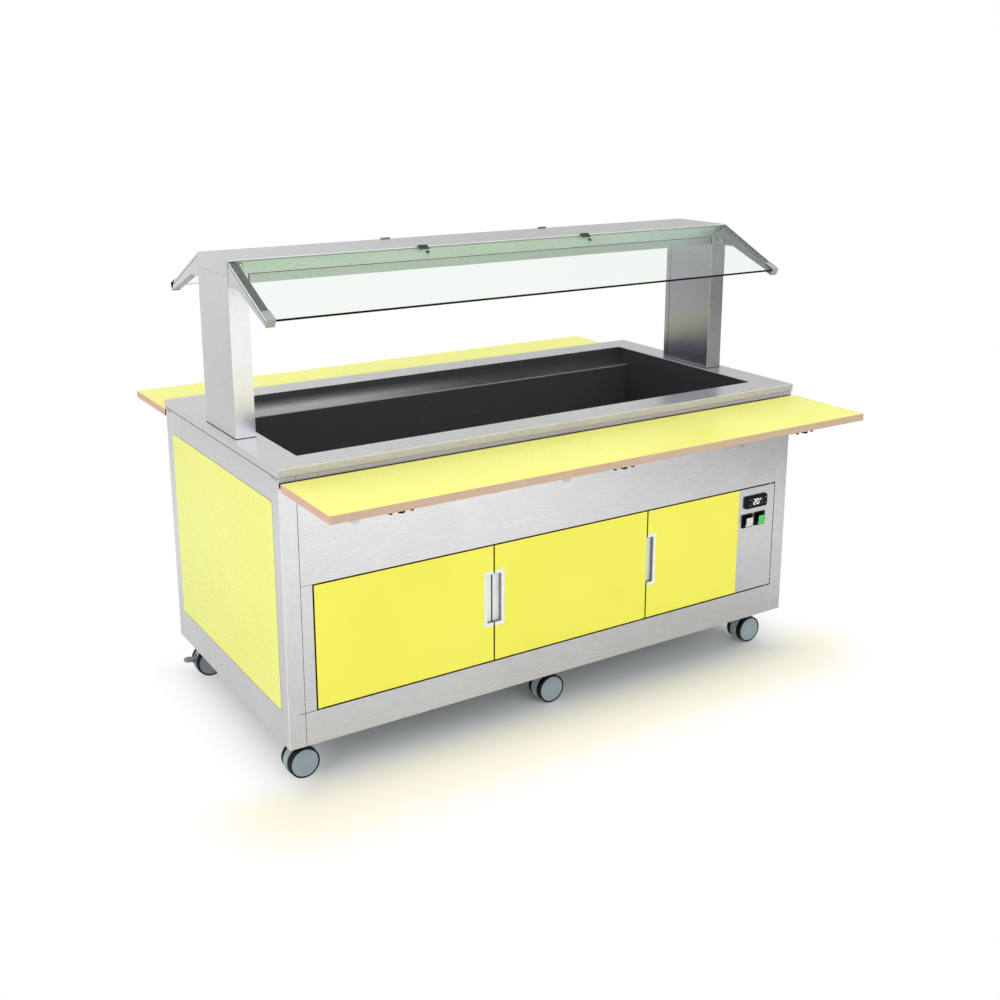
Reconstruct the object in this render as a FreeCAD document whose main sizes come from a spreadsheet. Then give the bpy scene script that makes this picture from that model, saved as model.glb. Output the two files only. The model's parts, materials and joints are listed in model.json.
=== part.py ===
import FreeCAD, Part
import os
import re
import Sketcher

# Self-service display case on casters, in millimetres.
# The origin is on the floor at the middle of the case. X runs along the case,
# -Y is the side with the doors and controls, +Z is up.

doc = FreeCAD.newDocument("DisplayCase")

# Driving sizes, one cell each
SIZES = dict(
    # case body
    case_length=1500, case_depth=746, worktop_height=774, worktop_band=18,
    body_gap=1, body_inset=2, skin=1.5, flange=15, skirt_height=120,
    bottom_rail=80, fascia_height=252, top_rail=61,
    post_width=40, post_depth=40, seam=1, filler_width=28, panel_thickness=16,
    floor_thickness=2, member_width=60, overrun=5,
    # cold well
    well_margin=16.5, side_margin=82, ledge_drop=48, ledge_width=41,
    well_depth=200, insulation=36, foam_room=24, drain_radius=20,
    drain_length=74, drain_from_end=70,
    # columns and canopy
    column_inset=15.5, column_width=48, column_depth=194, canopy_top=1184,
    beam_height=35, underside_height=22, underside_inset=3, underside_gap=4,
    groove=1.5, groove_depth=1, cover_margin=18, column_hole=2.5,
    column_hole_drop=88,
    # sneeze guards
    glass_angle=25.5, glass_thickness=6, glass_reach=213, glass_gap=1,
    gasket=2, arm_width=21, arm_inset=1.5, arm_root=50, arm_knee=56, arm_tip=9,
    cap_lip=2, cap_overlap=32, cap_nose=2.5, cap_foot=1, cap_clearance=0.2,
    clip_width=26, clip_length=10, clip_overlap=3, clip_thickness=3,
    clip_spacing=241, clip_ring=5, clip_ring_out=14, bolt_radius=6,
    bolt_head=3, bolt_inset=8, bolt_drop=15, arm_bolt_out=16, arm_bolt_drop=46,
    # doors
    service_width=452, swing_clearance=0.7, pin_radius=2.5, pin_clearance=0.1,
    pin_reach=7, pin_grip=10, pull_width=27, pull_height=142, pull_rim=9,
    pull_depth=11, pull_wall=1.2, pull_lip=1, pull_rise=13.5,
    # service door and controls
    laminate=4, strip_width=129, control_inset=70, thermostat_width=82,
    thermostat_height=35, thermostat_proud=5, thermostat_body_width=71,
    thermostat_body_height=29, thermostat_depth=40, thermostat_drop=39,
    bezel_corner=4, switch_inset=75, switch_spacing=45, switch_width=38,
    switch_height=38, switch_proud=3, switch_drop=91, switch_depth=24,
    rocker_width=25, rocker_height=27, rocker_clearance=1, rocker_sink=1,
    rocker_reach=12, rocker_tilt=9, key_width=7, key_height=5, key_proud=0.8,
    key_depth=3,
    key_left=24, key_right=33, key_rise=8, key_clearance=0.15,
    # tray slides
    tray_width=244, tray_gap=11, tray_thickness=18, tray_drop=28, tray_inset=2,
    bracket_inset=177, bracket_width=60, arm_height=10, arm_wall=2,
    root_length=60, bracket_setback=26, pivot_out=15, pivot_drop=15,
    pivot_radius=4, eye_radius=7, ear_thickness=4, ear_radius=8, ear_gap=0.5,
    plate_thickness=3, plate_height=32, tail_width=27, tail_drop=91,
    buffer_radius=8, side_buffer_radius=4, buffer_drop=5, buffer_setback=34,
    buffer_spacing=25, fit=0.05,
    # casters
    wheel_radius=37.5, wheel_width=16, caster_width=53, caster_inset=55,
    caster_trail=10, front_inset=97, back_inset=26, tyre_edge=2,
    tread_groove=1.5, hub_radius=33.5, hub_dish=1.2, axle_radius=4,
    housing_radius=39.5, housing_gap=0.4, housing_floor=8, neck_radius=15,
    swivel_gap=0.5, stem_radius=6, stem_reach=10, pad_size=44,
    pad_thickness=3, pedal_pivot=16, pedal_rise=52, pedal_width=15,
    pedal_thickness=5, pedal_length=57, pedal_drop=5, paddle_radius=14,
    pedal_pin=2, slot_low=36, slot_high=62, slot_clearance=0.3,
    # condensing unit
    compressor_inset=108, compressor_back=281, compressor_radius=72,
    compressor_height=165, unit_clearance=5, vent_inset=278, vent_front=211,
    vent_width=140,
    compressor_foot=12, foot_radius=10, foot_spacing=60,
    base_plate=3, crown=25, stub_radius=5, stub_length=30, coil_inset=248,
    coil_back=151, coil_width=220, coil_height=210, coil_depth=44, coil_rise=6,
    fin_pitch=14, fin_gap=7, shroud_depth=42, shroud_wall=10, blade_gap=7,
    fan_depth=20, hub_size=24, blade_thickness=2, motor_radius=32,
    motor_length=45, shaft_radius=4, strut_width=12,
)

# Angles and counts
BLADES = 5
BLADE_PITCH = 28

# Places worked out from the sizes
PLACES = dict(
    case_end="case_length / 2",
    case_side="case_depth / 2",
    body_end="case_end - body_inset",
    body_side="case_side - body_inset",
    sill="panel_thickness + skin",
    band_low="worktop_height - worktop_band",
    body_top="band_low - body_gap",
    fascia_low="body_top - fascia_height",
    rail_high="skirt_height + bottom_rail",
    post_inner="body_end - post_width",
    post_back="body_side - post_depth",
    panel_top="body_top - top_rail",
    door_gap="panel_thickness / 2 * (sqrt(2) - 1) + swing_clearance",
    filler_edge="post_inner - filler_width",
    door_low="rail_high + door_gap",
    door_high="fascia_low - door_gap",
    door_face="-body_side",
    door_back="door_face + panel_thickness",
    hinge_in="panel_thickness / 2",
    hinge_y="door_face + hinge_in",
    first_left="-filler_edge + door_gap",
    door_pitch="(filler_edge + post_inner - service_width) / 2",
    first_right="first_left + door_pitch - door_gap",
    second_left="first_right + door_gap",
    second_right="second_left + door_pitch - door_gap",
    third_left="second_right + door_gap",
    third_right="post_inner - door_gap",
    pull_centre="(door_low + door_high) / 2 + pull_rise",
    column_outer="case_end - column_inset",
    column_inner="column_outer - column_width",
    column_side="column_depth / 2",
    well_end="column_inner - well_margin",
    well_side="case_side - side_margin",
    well_floor="worktop_height - well_depth",
    ledge_top="worktop_height - ledge_drop",
    ledge_side="well_side - ledge_width",
    foam_end="body_end - sill - foam_room",
    foam_side="body_side - sill - foam_room",
    foam_low="well_floor - skin - insulation",
    foam_top="worktop_height - 2 * skin",
    beam_low="canopy_top - beam_height",
    underside_low="beam_low - underside_height",
    lean="sin(glass_angle * 1deg)",
    steep="cos(glass_angle * 1deg)",
    slope="lean / steep",
    glass_start="(glass_gap + glass_thickness * lean) / steep",
    glass_end="glass_reach / steep",
    arm_top="glass_thickness + gasket",
    arm_drop="arm_top / steep",
    arm_outer="column_outer - arm_inset",
    arm_inner="arm_outer - arm_width",
    arm_end="glass_end + cap_clearance",
    clip_end="glass_start + clip_length",
    tray_top="worktop_height - tray_drop",
    tray_low="tray_top - tray_thickness",
    tray_near="body_side + tray_gap",
    tray_far="tray_near + tray_width",
    tray_end="case_end - tray_inset",
    bracket_pitch="case_end - bracket_inset",
    pivot_y="body_side + pivot_out",
    pivot_z="tray_low - pivot_drop",
    caster_spacing="case_end - caster_inset",
    front_caster="case_side - front_inset",
    back_caster="case_side - back_inset",
    wheel_inner="caster_width / 2 - wheel_width",
    wheel_outer="caster_width / 2",
    housing_half="wheel_inner - housing_gap",
    pad_low="skirt_height - pad_thickness",
    neck_top="pad_low - swivel_gap",
    thermostat_x="third_right - control_inset",
    thermostat_z="door_high - thermostat_drop",
    switch_middle="third_right - switch_inset",
    switch_z="door_high - switch_drop",
    rocker_y="door_face + rocker_sink",
    rocker_room="rocker_width / 2 + rocker_clearance",
    rocker_rise="rocker_height / 2 + rocker_clearance",
    compressor_x="post_inner - compressor_inset",
    compressor_y="body_side - compressor_back",
    compressor_low="rail_high + compressor_foot + base_plate",
    unit_top="foam_low - unit_clearance",
    compressor_top="min(compressor_low + compressor_height; unit_top)",
    vent_x="post_inner - vent_inset",
    vent_y="-(body_side - vent_front)",
    coil_x="post_inner - coil_inset",
    coil_y="body_side - coil_back",
    coil_low="rail_high + coil_rise",
    coil_top="min(coil_low + coil_height; unit_top)",
    fan_z="(coil_low + coil_top) / 2",
    fan_opening="min(coil_width; coil_top - coil_low) / 2 - shroud_wall",
    fan_radius="fan_opening - blade_gap",
    shroud_back="coil_y + coil_depth + shroud_depth",
)


# Sheets and expressions

def fill_sheet(name, table, formula):
    """Puts one alias in each row, with a plain number or a formula beside it."""
    sheet = doc.addObject("Spreadsheet::Sheet", name)
    for row, (alias, value) in enumerate(table.items(), start=1):
        sheet.set(f"A{row}", alias)
        sheet.set(f"B{row}", f"={bind(value)}" if formula else str(value))
        sheet.setAlias(f"B{row}", alias)
    return sheet


def bind(text):
    """Turns the plain words of a formula into references to the two sheets."""
    def reference(match):
        word = match.group(0)
        if word in SIZES:
            return f"Sizes.{word}"
        if word in PLACES:
            return f"Places.{word}"
        return word
    return re.sub(r"[A-Za-z_]\w*", reference, str(text))


fill_sheet("Sizes", SIZES, False)
doc.recompute()
fill_sheet("Places", PLACES, True)
doc.recompute()

nodes = []


def node(name, shape):
    """Names a finished sub-part after the file that it is written to."""
    shape.Label = name
    nodes.append(shape)
    return shape


# Spans: low and high formulas along one axis

def about(half):
    return (f"-({half})", half)


def side(sign, near, far):
    """A span from near to far on the positive or the negative side."""
    return (near, far) if sign > 0 else (f"-({far})", f"-({near})")


def around(centre, half):
    return (f"{centre} - ({half})", f"{centre} + ({half})")


def reach(edge, sign, near, far):
    """A span that starts near an edge and goes away from it."""
    if sign > 0:
        return (f"{edge} + ({near})", f"{edge} + ({far})")
    return (f"{edge} - ({far})", f"{edge} - ({near})")


# Primitives and booleans

def put(shape, x, y, z):
    for axis, place in zip("xyz", (x, y, z)):
        shape.setExpression(f"Placement.Base.{axis}", bind(place))
    return shape


def block(x, y, z):
    box = doc.addObject("Part::Box", "Block")
    for prop, (low, high) in zip(("Length", "Width", "Height"), (x, y, z)):
        box.setExpression(prop, bind(f"({high}) - ({low})"))
    return put(box, x[0], y[0], z[0])


TURNS = dict(
    x=FreeCAD.Rotation(FreeCAD.Vector(0, 1, 0), 90),
    y=FreeCAD.Rotation(FreeCAD.Vector(1, 0, 0), -90),
    z=FreeCAD.Rotation(),
)


def rod(along, start, radius, length):
    """A cylinder from its start along +X, +Y or +Z."""
    cylinder = doc.addObject("Part::Cylinder", "Rod")
    cylinder.Placement.Rotation = TURNS[along]
    cylinder.setExpression("Radius", bind(radius))
    cylinder.setExpression("Height", bind(length))
    return put(cylinder, *start)


def fuse(*shapes):
    joined = doc.addObject("Part::MultiFuse", "Joined")
    joined.Shapes = list(shapes)
    return joined


def cut(base, *tools):
    result = doc.addObject("Part::Cut", "Cut")
    result.Base = base
    result.Tool = fuse(*tools) if len(tools) > 1 else tools[0]
    return result


def common(base, tool):
    result = doc.addObject("Part::Common", "Common")
    result.Base = base
    result.Tool = tool
    return result


def group(*shapes):
    """Several separate solids of one kind in one node."""
    compound = doc.addObject("Part::Compound", "Group")
    compound.Links = list(shapes)
    return compound


# Bodies drawn as sketches

def sketch_on(body, plane, points):
    """A closed outline whose every corner is held by two bound distances."""
    sketch = body.newObject("Sketcher::SketchObject", "Outline")
    origin_planes = body.Origin.OriginFeatures
    face = [p for p in origin_planes if p.Role == plane][0]
    sketch.AttachmentSupport = [(face, "")]
    sketch.MapMode = "FlatFace"
    doc.recompute()
    values = [[float(doc.Places.evalExpression(bind(v))) for v in p]
              for p in points]
    corners = [FreeCAD.Vector(a, b, 0) for a, b in values]
    count = len(corners)
    for i in range(count):
        sketch.addGeometry(
            Part.LineSegment(corners[i], corners[(i + 1) % count]), False)
    for i in range(count):
        sketch.addConstraint(
            Sketcher.Constraint("Coincident", i, 2, (i + 1) % count, 1))
    for i, point in enumerate(points):
        for kind, formula, value in zip(("DistanceX", "DistanceY"), point, values[i]):
            held = sketch.addConstraint(
                Sketcher.Constraint(kind, -1, 1, i, 1, value))
            sketch.setExpression(f"Constraints[{held}]", bind(formula))
    return sketch


def pad(plane, points, length, place):
    """An outline pushed along its plane's normal."""
    body = doc.addObject("PartDesign::Body", "Body")
    sketch = sketch_on(body, plane, points)
    feature = body.newObject("PartDesign::Pad", "Pad")
    feature.Profile = sketch
    feature.setExpression("Length", bind(length))
    body.Tip = feature
    return put(body, *place)


def turned(points, axis, place):
    """An outline turned full circle about one of its sketch's axes."""
    body = doc.addObject("PartDesign::Body", "Body")
    plane = "XY_Plane" if axis == "V_Axis_Y" else "XZ_Plane"
    sketch = sketch_on(body, plane, points)
    feature = body.newObject("PartDesign::Revolution", "Turned")
    feature.Profile = sketch
    feature.ReferenceAxis = (sketch, ["V_Axis"])
    feature.Angle = 360
    body.Tip = feature
    return put(body, *place)


# Worktop with its downturned edge and the well opening

def worktop():
    top = block(about("case_end"), about("case_side"), ("band_low", "worktop_height"))
    under_top = block(about("case_end - skin"), about("case_side - skin"),
                      ("band_low - overrun", "worktop_height - skin"))
    opening = block(about("well_end"), about("well_side"),
                    ("band_low", "worktop_height + overrun"))
    return node("worktop", cut(top, under_top, opening))


# Cold well: a stepped basin with a ledge for pans and a drain

def basin_outer():
    upper = block(about("well_end + skin"), about("well_side + skin"),
                  ("ledge_top - skin", "foam_top"))
    lower = block(about("well_end + skin"), about("ledge_side + skin"),
                  ("well_floor - skin", "ledge_top"))
    return upper, lower


def drain_x():
    return "-(well_end - drain_from_end)"


def well():
    upper, lower = basin_outer()
    rim = block(about("well_end + flange"), about("well_side + flange"),
                ("foam_top", "foam_top + skin"))
    drain = rod("z", (drain_x(), "0", "well_floor - drain_length"),
                "drain_radius", "drain_length")
    upper_void = block(about("well_end"), about("well_side"),
                       ("ledge_top", "worktop_height + overrun"))
    lower_void = block(about("well_end"), about("ledge_side"),
                       ("well_floor", "worktop_height"))
    drain_void = rod("z", (drain_x(), "0", "well_floor - drain_length - overrun"),
                     "drain_radius - skin", "drain_length + 2 * overrun")
    basin = cut(fuse(upper, lower, rim, drain), upper_void, lower_void, drain_void)
    node("well_basin", basin)
    foam = block(about("foam_end"), about("foam_side"), ("foam_low", "foam_top"))
    upper, lower = basin_outer()
    drain_way = rod("z", (drain_x(), "0", "foam_low - overrun"),
                    "drain_radius + fit", "insulation + 2 * overrun")
    upper_room = block(about("well_end"), about("well_side"),
                       ("ledge_top", "foam_top + overrun"))
    node("well_insulation", cut(foam, upper, lower, upper_room, drain_way))


# Body frame: corner posts, rails and fascias of folded sheet

def corner_post(x_sign, y_sign):
    height = ("skirt_height", "body_top")
    front = block(side(x_sign, "post_inner", "body_end"),
                  side(y_sign, "body_side - skin", "body_side"), height)
    flank = block(side(x_sign, "body_end - skin", "body_end"),
                  side(y_sign, "post_back", "body_side"), height)
    return fuse(front, flank)


def end_rail(x_sign, low, high, lip):
    """A folded channel across one end, with tongues behind the posts."""
    width = about("post_back - seam")
    face = block(side(x_sign, "body_end - skin", "body_end"), width, (low, high))
    tongue = block(side(x_sign, "body_end - 2 * skin", "body_end - skin"),
                   about("post_back + flange"), (low, high))
    foot = block(side(x_sign, "body_end - sill", "body_end"), width,
                 (low, f"{low} + skin"))
    head = block(side(x_sign, "body_end - sill", "body_end"), width,
                 (f"{high} - skin", high))
    landing = block(side(x_sign, "body_end - sill", "body_end - panel_thickness"),
                    width, lip)
    return fuse(face, tongue, foot, head, landing)


def long_channel(y_sign, low, high):
    """A folded channel along the front or the back, with the same tongues."""
    length = about("post_inner - seam")
    face = block(length, side(y_sign, "body_side - skin", "body_side"), (low, high))
    tongue = block(about("post_inner + flange"),
                   side(y_sign, "body_side - 2 * skin", "body_side - skin"), (low, high))
    foot = block(length, side(y_sign, "body_side - sill", "body_side"),
                 (low, f"{low} + skin"))
    head = block(length, side(y_sign, "body_side - sill", "body_side"),
                 (f"{high} - skin", high))
    return [face, tongue, foot, head]


def back_landing(lip):
    """The lip that the back panel lies against."""
    return block(about("post_inner - seam"),
                 ("body_side - sill", "body_side - panel_thickness"), lip)


def worktop_support(y_sign):
    """The upstand behind a fascia that the worktop rests on."""
    return block(about("post_inner - flange"),
                 side(y_sign, "body_side - sill", "body_side - sill + skin"),
                 ("body_top - skin", "worktop_height - skin"))


def hinge_hole(x, z):
    return rod("z", (x, "hinge_y", f"{z} - overrun"), "pin_radius + pin_clearance",
               "2 * overrun")


HINGES = ("first_left + hinge_in", "second_right - hinge_in", "third_right - hinge_in")


def frame():
    signs = ((-1, -1), (1, -1), (-1, 1), (1, 1))
    node("corner_posts", group(*[corner_post(*pair) for pair in signs]))
    rails = []
    low_lip = ("rail_high - skin", "rail_high + flange")
    for x_sign in (-1, 1):
        rails.append(end_rail(x_sign, "skirt_height", "rail_high", low_lip))
        rails.append(end_rail(x_sign, "panel_top", "body_top",
                              ("panel_top - flange", "panel_top + skin")))
    node("end_rails", group(*rails))
    filler = block(("-(post_inner - seam)", "-filler_edge"),
                   ("-body_side", "-(body_side - skin)"), ("rail_high", "fascia_low - seam"))
    holes = [hinge_hole(x, "rail_high") for x in HINGES]
    front_rail = cut(fuse(*long_channel(-1, "skirt_height", "rail_high")), *holes)
    back_rail = fuse(*long_channel(1, "skirt_height", "rail_high"), back_landing(low_lip))
    node("bottom_rails", group(front_rail, back_rail, filler))
    holes = [hinge_hole(x, "fascia_low") for x in HINGES]
    front = fuse(*long_channel(-1, "fascia_low", "body_top"), worktop_support(-1))
    node("front_fascia", cut(front, *holes))
    back = fuse(*long_channel(1, "fascia_low", "body_top"), worktop_support(1),
                back_landing(("fascia_low - flange", "fascia_low + skin")))
    node("back_fascia", back)


# Coloured laminate panels that close the ends and the back

def panels():
    height = ("rail_high + seam", "panel_top - seam")
    ends = [block(side(sign, "body_end - panel_thickness", "body_end"),
                  about("post_back - seam"), height) for sign in (-1, 1)]
    node("end_panels", group(*ends))
    node("back_panel", block(
        about("post_inner - seam"), ("body_side - panel_thickness", "body_side"),
        ("rail_high + seam", "fascia_low - seam")))


# Cabinet floor with three cross-members that carry the casters

CASTERS = (
    ("front_left", "-caster_spacing", "-front_caster", False),
    ("front_middle", "0", "-front_caster", False),
    ("front_right", "caster_spacing", "-front_caster", False),
    ("back_left", "-caster_spacing", "back_caster", True),
    ("back_middle", "0", "back_caster", False),
    ("back_right", "caster_spacing", "back_caster", True),
)


def cabinet_floor():
    depth = about("body_side - sill")
    pieces = [block(about("body_end - sill"), depth,
                    ("rail_high - floor_thickness", "rail_high"))]
    for x in ("-caster_spacing", "0", "caster_spacing"):
        outer = block(around(x, "member_width / 2"), depth,
                      ("skirt_height", "rail_high - floor_thickness"))
        inner = block(around(x, "member_width / 2 - floor_thickness"),
                      ("-(body_side)", "body_side"),
                      ("skirt_height + floor_thickness", "rail_high - 2 * floor_thickness"))
        pieces.append(cut(outer, inner))
    for _, x, y, _ in CASTERS:
        pieces.append(block(around(x, "pad_size / 2"), around(y, "pad_size / 2"),
                            ("pad_low", "skirt_height")))
    holes = [rod("z", (x, y, "pad_low - overrun"), "stem_radius + fit",
                 "pad_thickness + floor_thickness + 2 * overrun") for _, x, y, _ in CASTERS]
    vent = block(around("vent_x", "vent_width / 2"), around("vent_y", "vent_width / 2"),
                 ("rail_high - floor_thickness - overrun", "rail_high + overrun"))
    node("cabinet_floor", cut(fuse(*pieces), vent, *holes))
    node("cupboard_divider", block(
        around("second_right + door_gap / 2", "skin / 2"),
        ("-(body_side - sill)", "body_side - sill"), ("rail_high", "foam_low")))


# Columns and canopy

def column(name, sign):
    across = side(sign, "column_inner", "column_outer")
    inside = side(sign, "column_inner + skin", "column_outer - skin")
    tube = block(across, about("column_side"), ("worktop_height", "beam_low - groove"))
    collar = block(inside, about("column_side - skin"), ("beam_low - 2 * groove", "beam_low"))
    void = block(inside, about("column_side - skin"),
                 ("worktop_height - overrun", "beam_low - 2 * groove"))
    lines = [block(side(sign, "column_inner - overrun", "column_inner + groove_depth"),
                   around(y, "groove / 2"),
                   ("worktop_height - overrun", "beam_low"))
             for y in ("column_side - cover_margin", "-(column_side - skin)")]
    hole = rod("x", (side(sign, "column_inner", "column_inner + skin")[0], "0",
                     "canopy_top - column_hole_drop"), "column_hole", "skin")
    node(name, cut(fuse(tube, collar), void, hole, *lines))


def canopy():
    outer = block(about("column_outer"), about("column_side"), ("beam_low", "canopy_top"))
    inner = block(about("column_outer - skin"), about("column_side - skin"),
                  ("beam_low - overrun", "canopy_top - skin"))
    node("canopy_beam", cut(outer, inner))
    pan = block(about("column_inner - underside_gap"), about("column_side - underside_inset"),
                ("underside_low", "beam_low - groove"))
    collar = block(about("column_inner - underside_gap"), about("column_side - skin / 2"),
                   ("beam_low - groove - skin", "beam_low"))
    collar_edge = block(about("column_inner"), about("column_side - underside_inset - skin"),
                        ("beam_low - groove", "beam_low + overrun"))
    void = block(about("column_inner - underside_gap - skin"),
                 about("column_side - underside_inset - skin"),
                 ("underside_low + skin", "beam_low + overrun"))
    trough = cut(fuse(pan, cut(collar, collar_edge)), void)
    node("canopy_underside", trough)


# Sneeze guards: tapered arms, gaskets, glass, end caps and clips

def on_slope(distance, below):
    """The height of the glass's upper plane at a distance from the middle."""
    return f"canopy_top - slope * ({distance} - column_side) - ({below})"


def slope_point(y_sign, along, below):
    """A point at a length down the slope and a depth square to the glass."""
    y = f"column_side + ({along}) * steep - ({below}) * lean"
    z = f"canopy_top - ({along}) * lean - ({below}) * steep"
    return (f"-({y})" if y_sign < 0 else y, z)


def slope_strip(y_sign, near, far, above, below):
    """The outline of a strip that lies along the glass."""
    corners = ((near, below), (far, below), (far, above), (near, above))
    return [slope_point(y_sign, along, depth) for along, depth in corners]


def arm_outline(y_sign):
    sign = "-" if y_sign < 0 else ""
    root = on_slope("column_side", "arm_drop + arm_root")
    return [
        (f"{sign}(column_side)", on_slope("column_side", "arm_drop")),
        slope_point(y_sign, "arm_end", "arm_top"),
        slope_point(y_sign, "arm_end", "arm_top + arm_tip"),
        (f"{sign}(column_side + arm_knee)", root),
        (f"{sign}(column_side)", root),
    ]


def hook_outline(y_sign):
    """A lip over the glass and a nose that closes the arm's end."""
    foot = "arm_top + arm_tip + cap_foot"
    corners = (("glass_end - cap_overlap", "-cap_lip"), ("glass_end + cap_nose", "-cap_lip"),
               ("glass_end + cap_nose", foot), ("arm_end", foot),
               ("arm_end", "-cap_clearance"),
               ("glass_end - cap_overlap", "-cap_clearance"))
    return [slope_point(y_sign, along, depth) for along, depth in corners]


def guards():
    width = "2 * (arm_outer - cap_clearance)"
    start = "-(arm_outer - cap_clearance)"
    for name, y_sign in (("front_glass", -1), ("back_glass", 1)):
        outline = slope_strip(y_sign, "glass_start", "glass_end", "0", "glass_thickness")
        node(name, pad("YZ_Plane", outline, width, (start, "0", "0")))
    arms, gaskets, caps = [], [], []
    for x_sign in (-1, 1):
        x_arm = side(x_sign, "arm_inner", "arm_outer")[0]
        for y_sign in (-1, 1):
            arm = pad("YZ_Plane", arm_outline(y_sign), "arm_width", (x_arm, "0", "0"))
            line = block(side(x_sign, "arm_outer - groove_depth", "arm_outer + overrun"),
                         side(y_sign, "column_side - overrun", "column_side + groove"),
                         (on_slope("column_side", "arm_drop + arm_root + overrun"),
                          "canopy_top"))
            arms.append(cut(arm, line))
            strip = slope_strip(y_sign, "glass_start", "glass_end", "glass_thickness", "arm_top")
            gaskets.append(pad("YZ_Plane", strip, "arm_width", (x_arm, "0", "0")))
            caps.append(pad("YZ_Plane", hook_outline(y_sign), "arm_width", (x_arm, "0", "0")))
    node("canopy_arms", group(*arms))
    node("glass_gaskets", group(*gaskets))
    node("arm_end_caps", group(*caps))


def clip(x_sign, y_sign):
    """A flat bar over the glass's top edge with a round fixing below it."""
    bar_line = slope_strip(y_sign, "-clip_overlap", "clip_end", "-(clip_thickness)", "-(fit)")
    x = f"{'-' if x_sign < 0 else ''}clip_spacing"
    bar = pad("YZ_Plane", bar_line, "clip_width", (f"{x} - clip_width / 2", "0", "0"))
    ring_y, ring_z = slope_point(y_sign, "clip_end + clip_ring_out", "-(fit)")
    ring = rod("z", (x, ring_y, ring_z), "clip_ring", "clip_thickness")
    ring.Placement.Rotation = FreeCAD.Rotation(FreeCAD.Vector(-y_sign, 0, 0), 1)
    ring.setExpression("Placement.Rotation.Angle", bind("glass_angle * 1deg"))
    return bar, ring


def fixings():
    """The clips, and round nuts on the beam and on each arm's inner side."""
    solids = []
    for x_sign in (-1, 1):
        for y_sign in (-1, 1):
            solids.extend(clip(x_sign, y_sign))
            x = side(x_sign, "arm_inner - bolt_inset", "arm_inner - bolt_inset")[0]
            y = side(y_sign, "column_side", "column_side + bolt_head")[0]
            solids.append(rod("y", (x, y, "canopy_top - bolt_drop"), "bolt_radius", "bolt_head"))
            x = side(x_sign, "arm_inner - bolt_head", "arm_inner")[0]
            y = side(y_sign, "column_side + arm_bolt_out", "column_side + arm_bolt_out")[0]
            solids.append(rod("x", (x, y, "canopy_top - arm_bolt_drop"), "bolt_radius",
                              "bolt_head"))
    node("glass_clips", group(*solids))


# Doors with pivot pins and half-cup pulls

def hinge_pins(x):
    low = rod("z", (x, "hinge_y", "door_low - pin_reach"), "pin_radius",
              "pin_reach + pin_grip")
    high = rod("z", (x, "hinge_y", "door_high - pin_grip"), "pin_radius",
               "pin_reach + pin_grip")
    return low, high


def pull_room(edge, sign, grow):
    """The pocket that a pull's cup fills, open to the door's free edge."""
    return block(reach(edge, sign, f"-({grow})", f"pull_width - pull_rim + pull_wall + {grow}"),
                 ("door_face - overrun", f"door_face + pull_depth + pull_wall + {grow}"),
                 around("pull_centre", f"pull_height / 2 - pull_rim + pull_wall + {grow}"))


def pull(name, edge, sign):
    rim = block(reach(edge, sign, "0", "pull_width"), ("door_face - pull_lip", "door_face"),
                around("pull_centre", "pull_height / 2"))
    cup = block(reach(edge, sign, "0", "pull_width - pull_rim + pull_wall"),
                ("door_face - pull_lip", "door_face + pull_depth + pull_wall"),
                around("pull_centre", "pull_height / 2 - pull_rim + pull_wall"))
    hollow = block(reach(edge, sign, "-overrun", "pull_width - pull_rim"),
                   ("door_face - overrun", "door_face + pull_depth"),
                   around("pull_centre", "pull_height / 2 - pull_rim"))
    node(name, cut(fuse(rim, cup), hollow))


def plain_door(name, left, right, hinge, edge, sign):
    board = block((left, right), ("door_face", "door_back"), ("door_low", "door_high"))
    node(f"{name}_panel", cut(fuse(board, *hinge_pins(hinge)), pull_room(edge, sign, "fit")))
    pull(f"{name}_pull", edge, sign)


def doors():
    plain_door("left_door", "first_left", "first_right", HINGES[0], "first_right", -1)
    plain_door("middle_door", "second_left", "second_right", HINGES[1], "second_left", 1)


# Service door: a steel pan with a laminate face and the control strip

def service_door():
    whole = ("third_left", "third_right")
    height = ("door_low", "door_high")
    split = "third_right - strip_width"
    pan = block(whole, ("door_face", "door_back"), height)
    step = block(("third_left - overrun", split), ("door_face - overrun", "door_face + laminate"),
                 ("door_low - overrun", "door_high + overrun"))
    hollow = block(("third_left + skin", "third_right - 2 * hinge_in"),
                   ("door_face + laminate + skin", "door_back + overrun"),
                   ("door_low + skin", "door_high - skin"))
    strip_hollow = block((f"{split} + skin", "third_right - 2 * hinge_in"),
                         ("door_face + skin", "door_back + overrun"),
                         ("door_low + skin", "door_high - skin"))
    openings = [block(around("thermostat_x", "thermostat_body_width / 2 + fit"),
                      ("door_face - overrun", "door_back"),
                      around("thermostat_z", "thermostat_body_height / 2 + fit"))]
    for x in ("switch_middle - switch_spacing / 2", "switch_middle + switch_spacing / 2"):
        openings.append(block(around(x, "rocker_room + skin + fit"),
                              ("door_face - overrun", "door_back"),
                              around("switch_z", "rocker_rise + skin + fit")))
    shell = cut(fuse(pan, *hinge_pins(HINGES[2])), step, hollow, strip_hollow,
                pull_room("third_left", 1, "fit"), *openings)
    node("service_door_shell", shell)
    face = block(("third_left", split), ("door_face", "door_face + laminate"), height)
    node("service_door_panel", cut(face, pull_room("third_left", 1, "fit")))
    pull("service_door_pull", "third_left", 1)


# Controls on the strip: thermostat with four keys, and two rocker switches

KEYS = (
    ("upper_left_key", "thermostat_x - key_left", "thermostat_z + key_rise"),
    ("lower_left_key", "thermostat_x - key_left", "thermostat_z - key_rise"),
    ("upper_right_key", "thermostat_x + key_right", "thermostat_z + key_rise"),
    ("lower_right_key", "thermostat_x + key_right", "thermostat_z - key_rise"),
)


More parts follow.
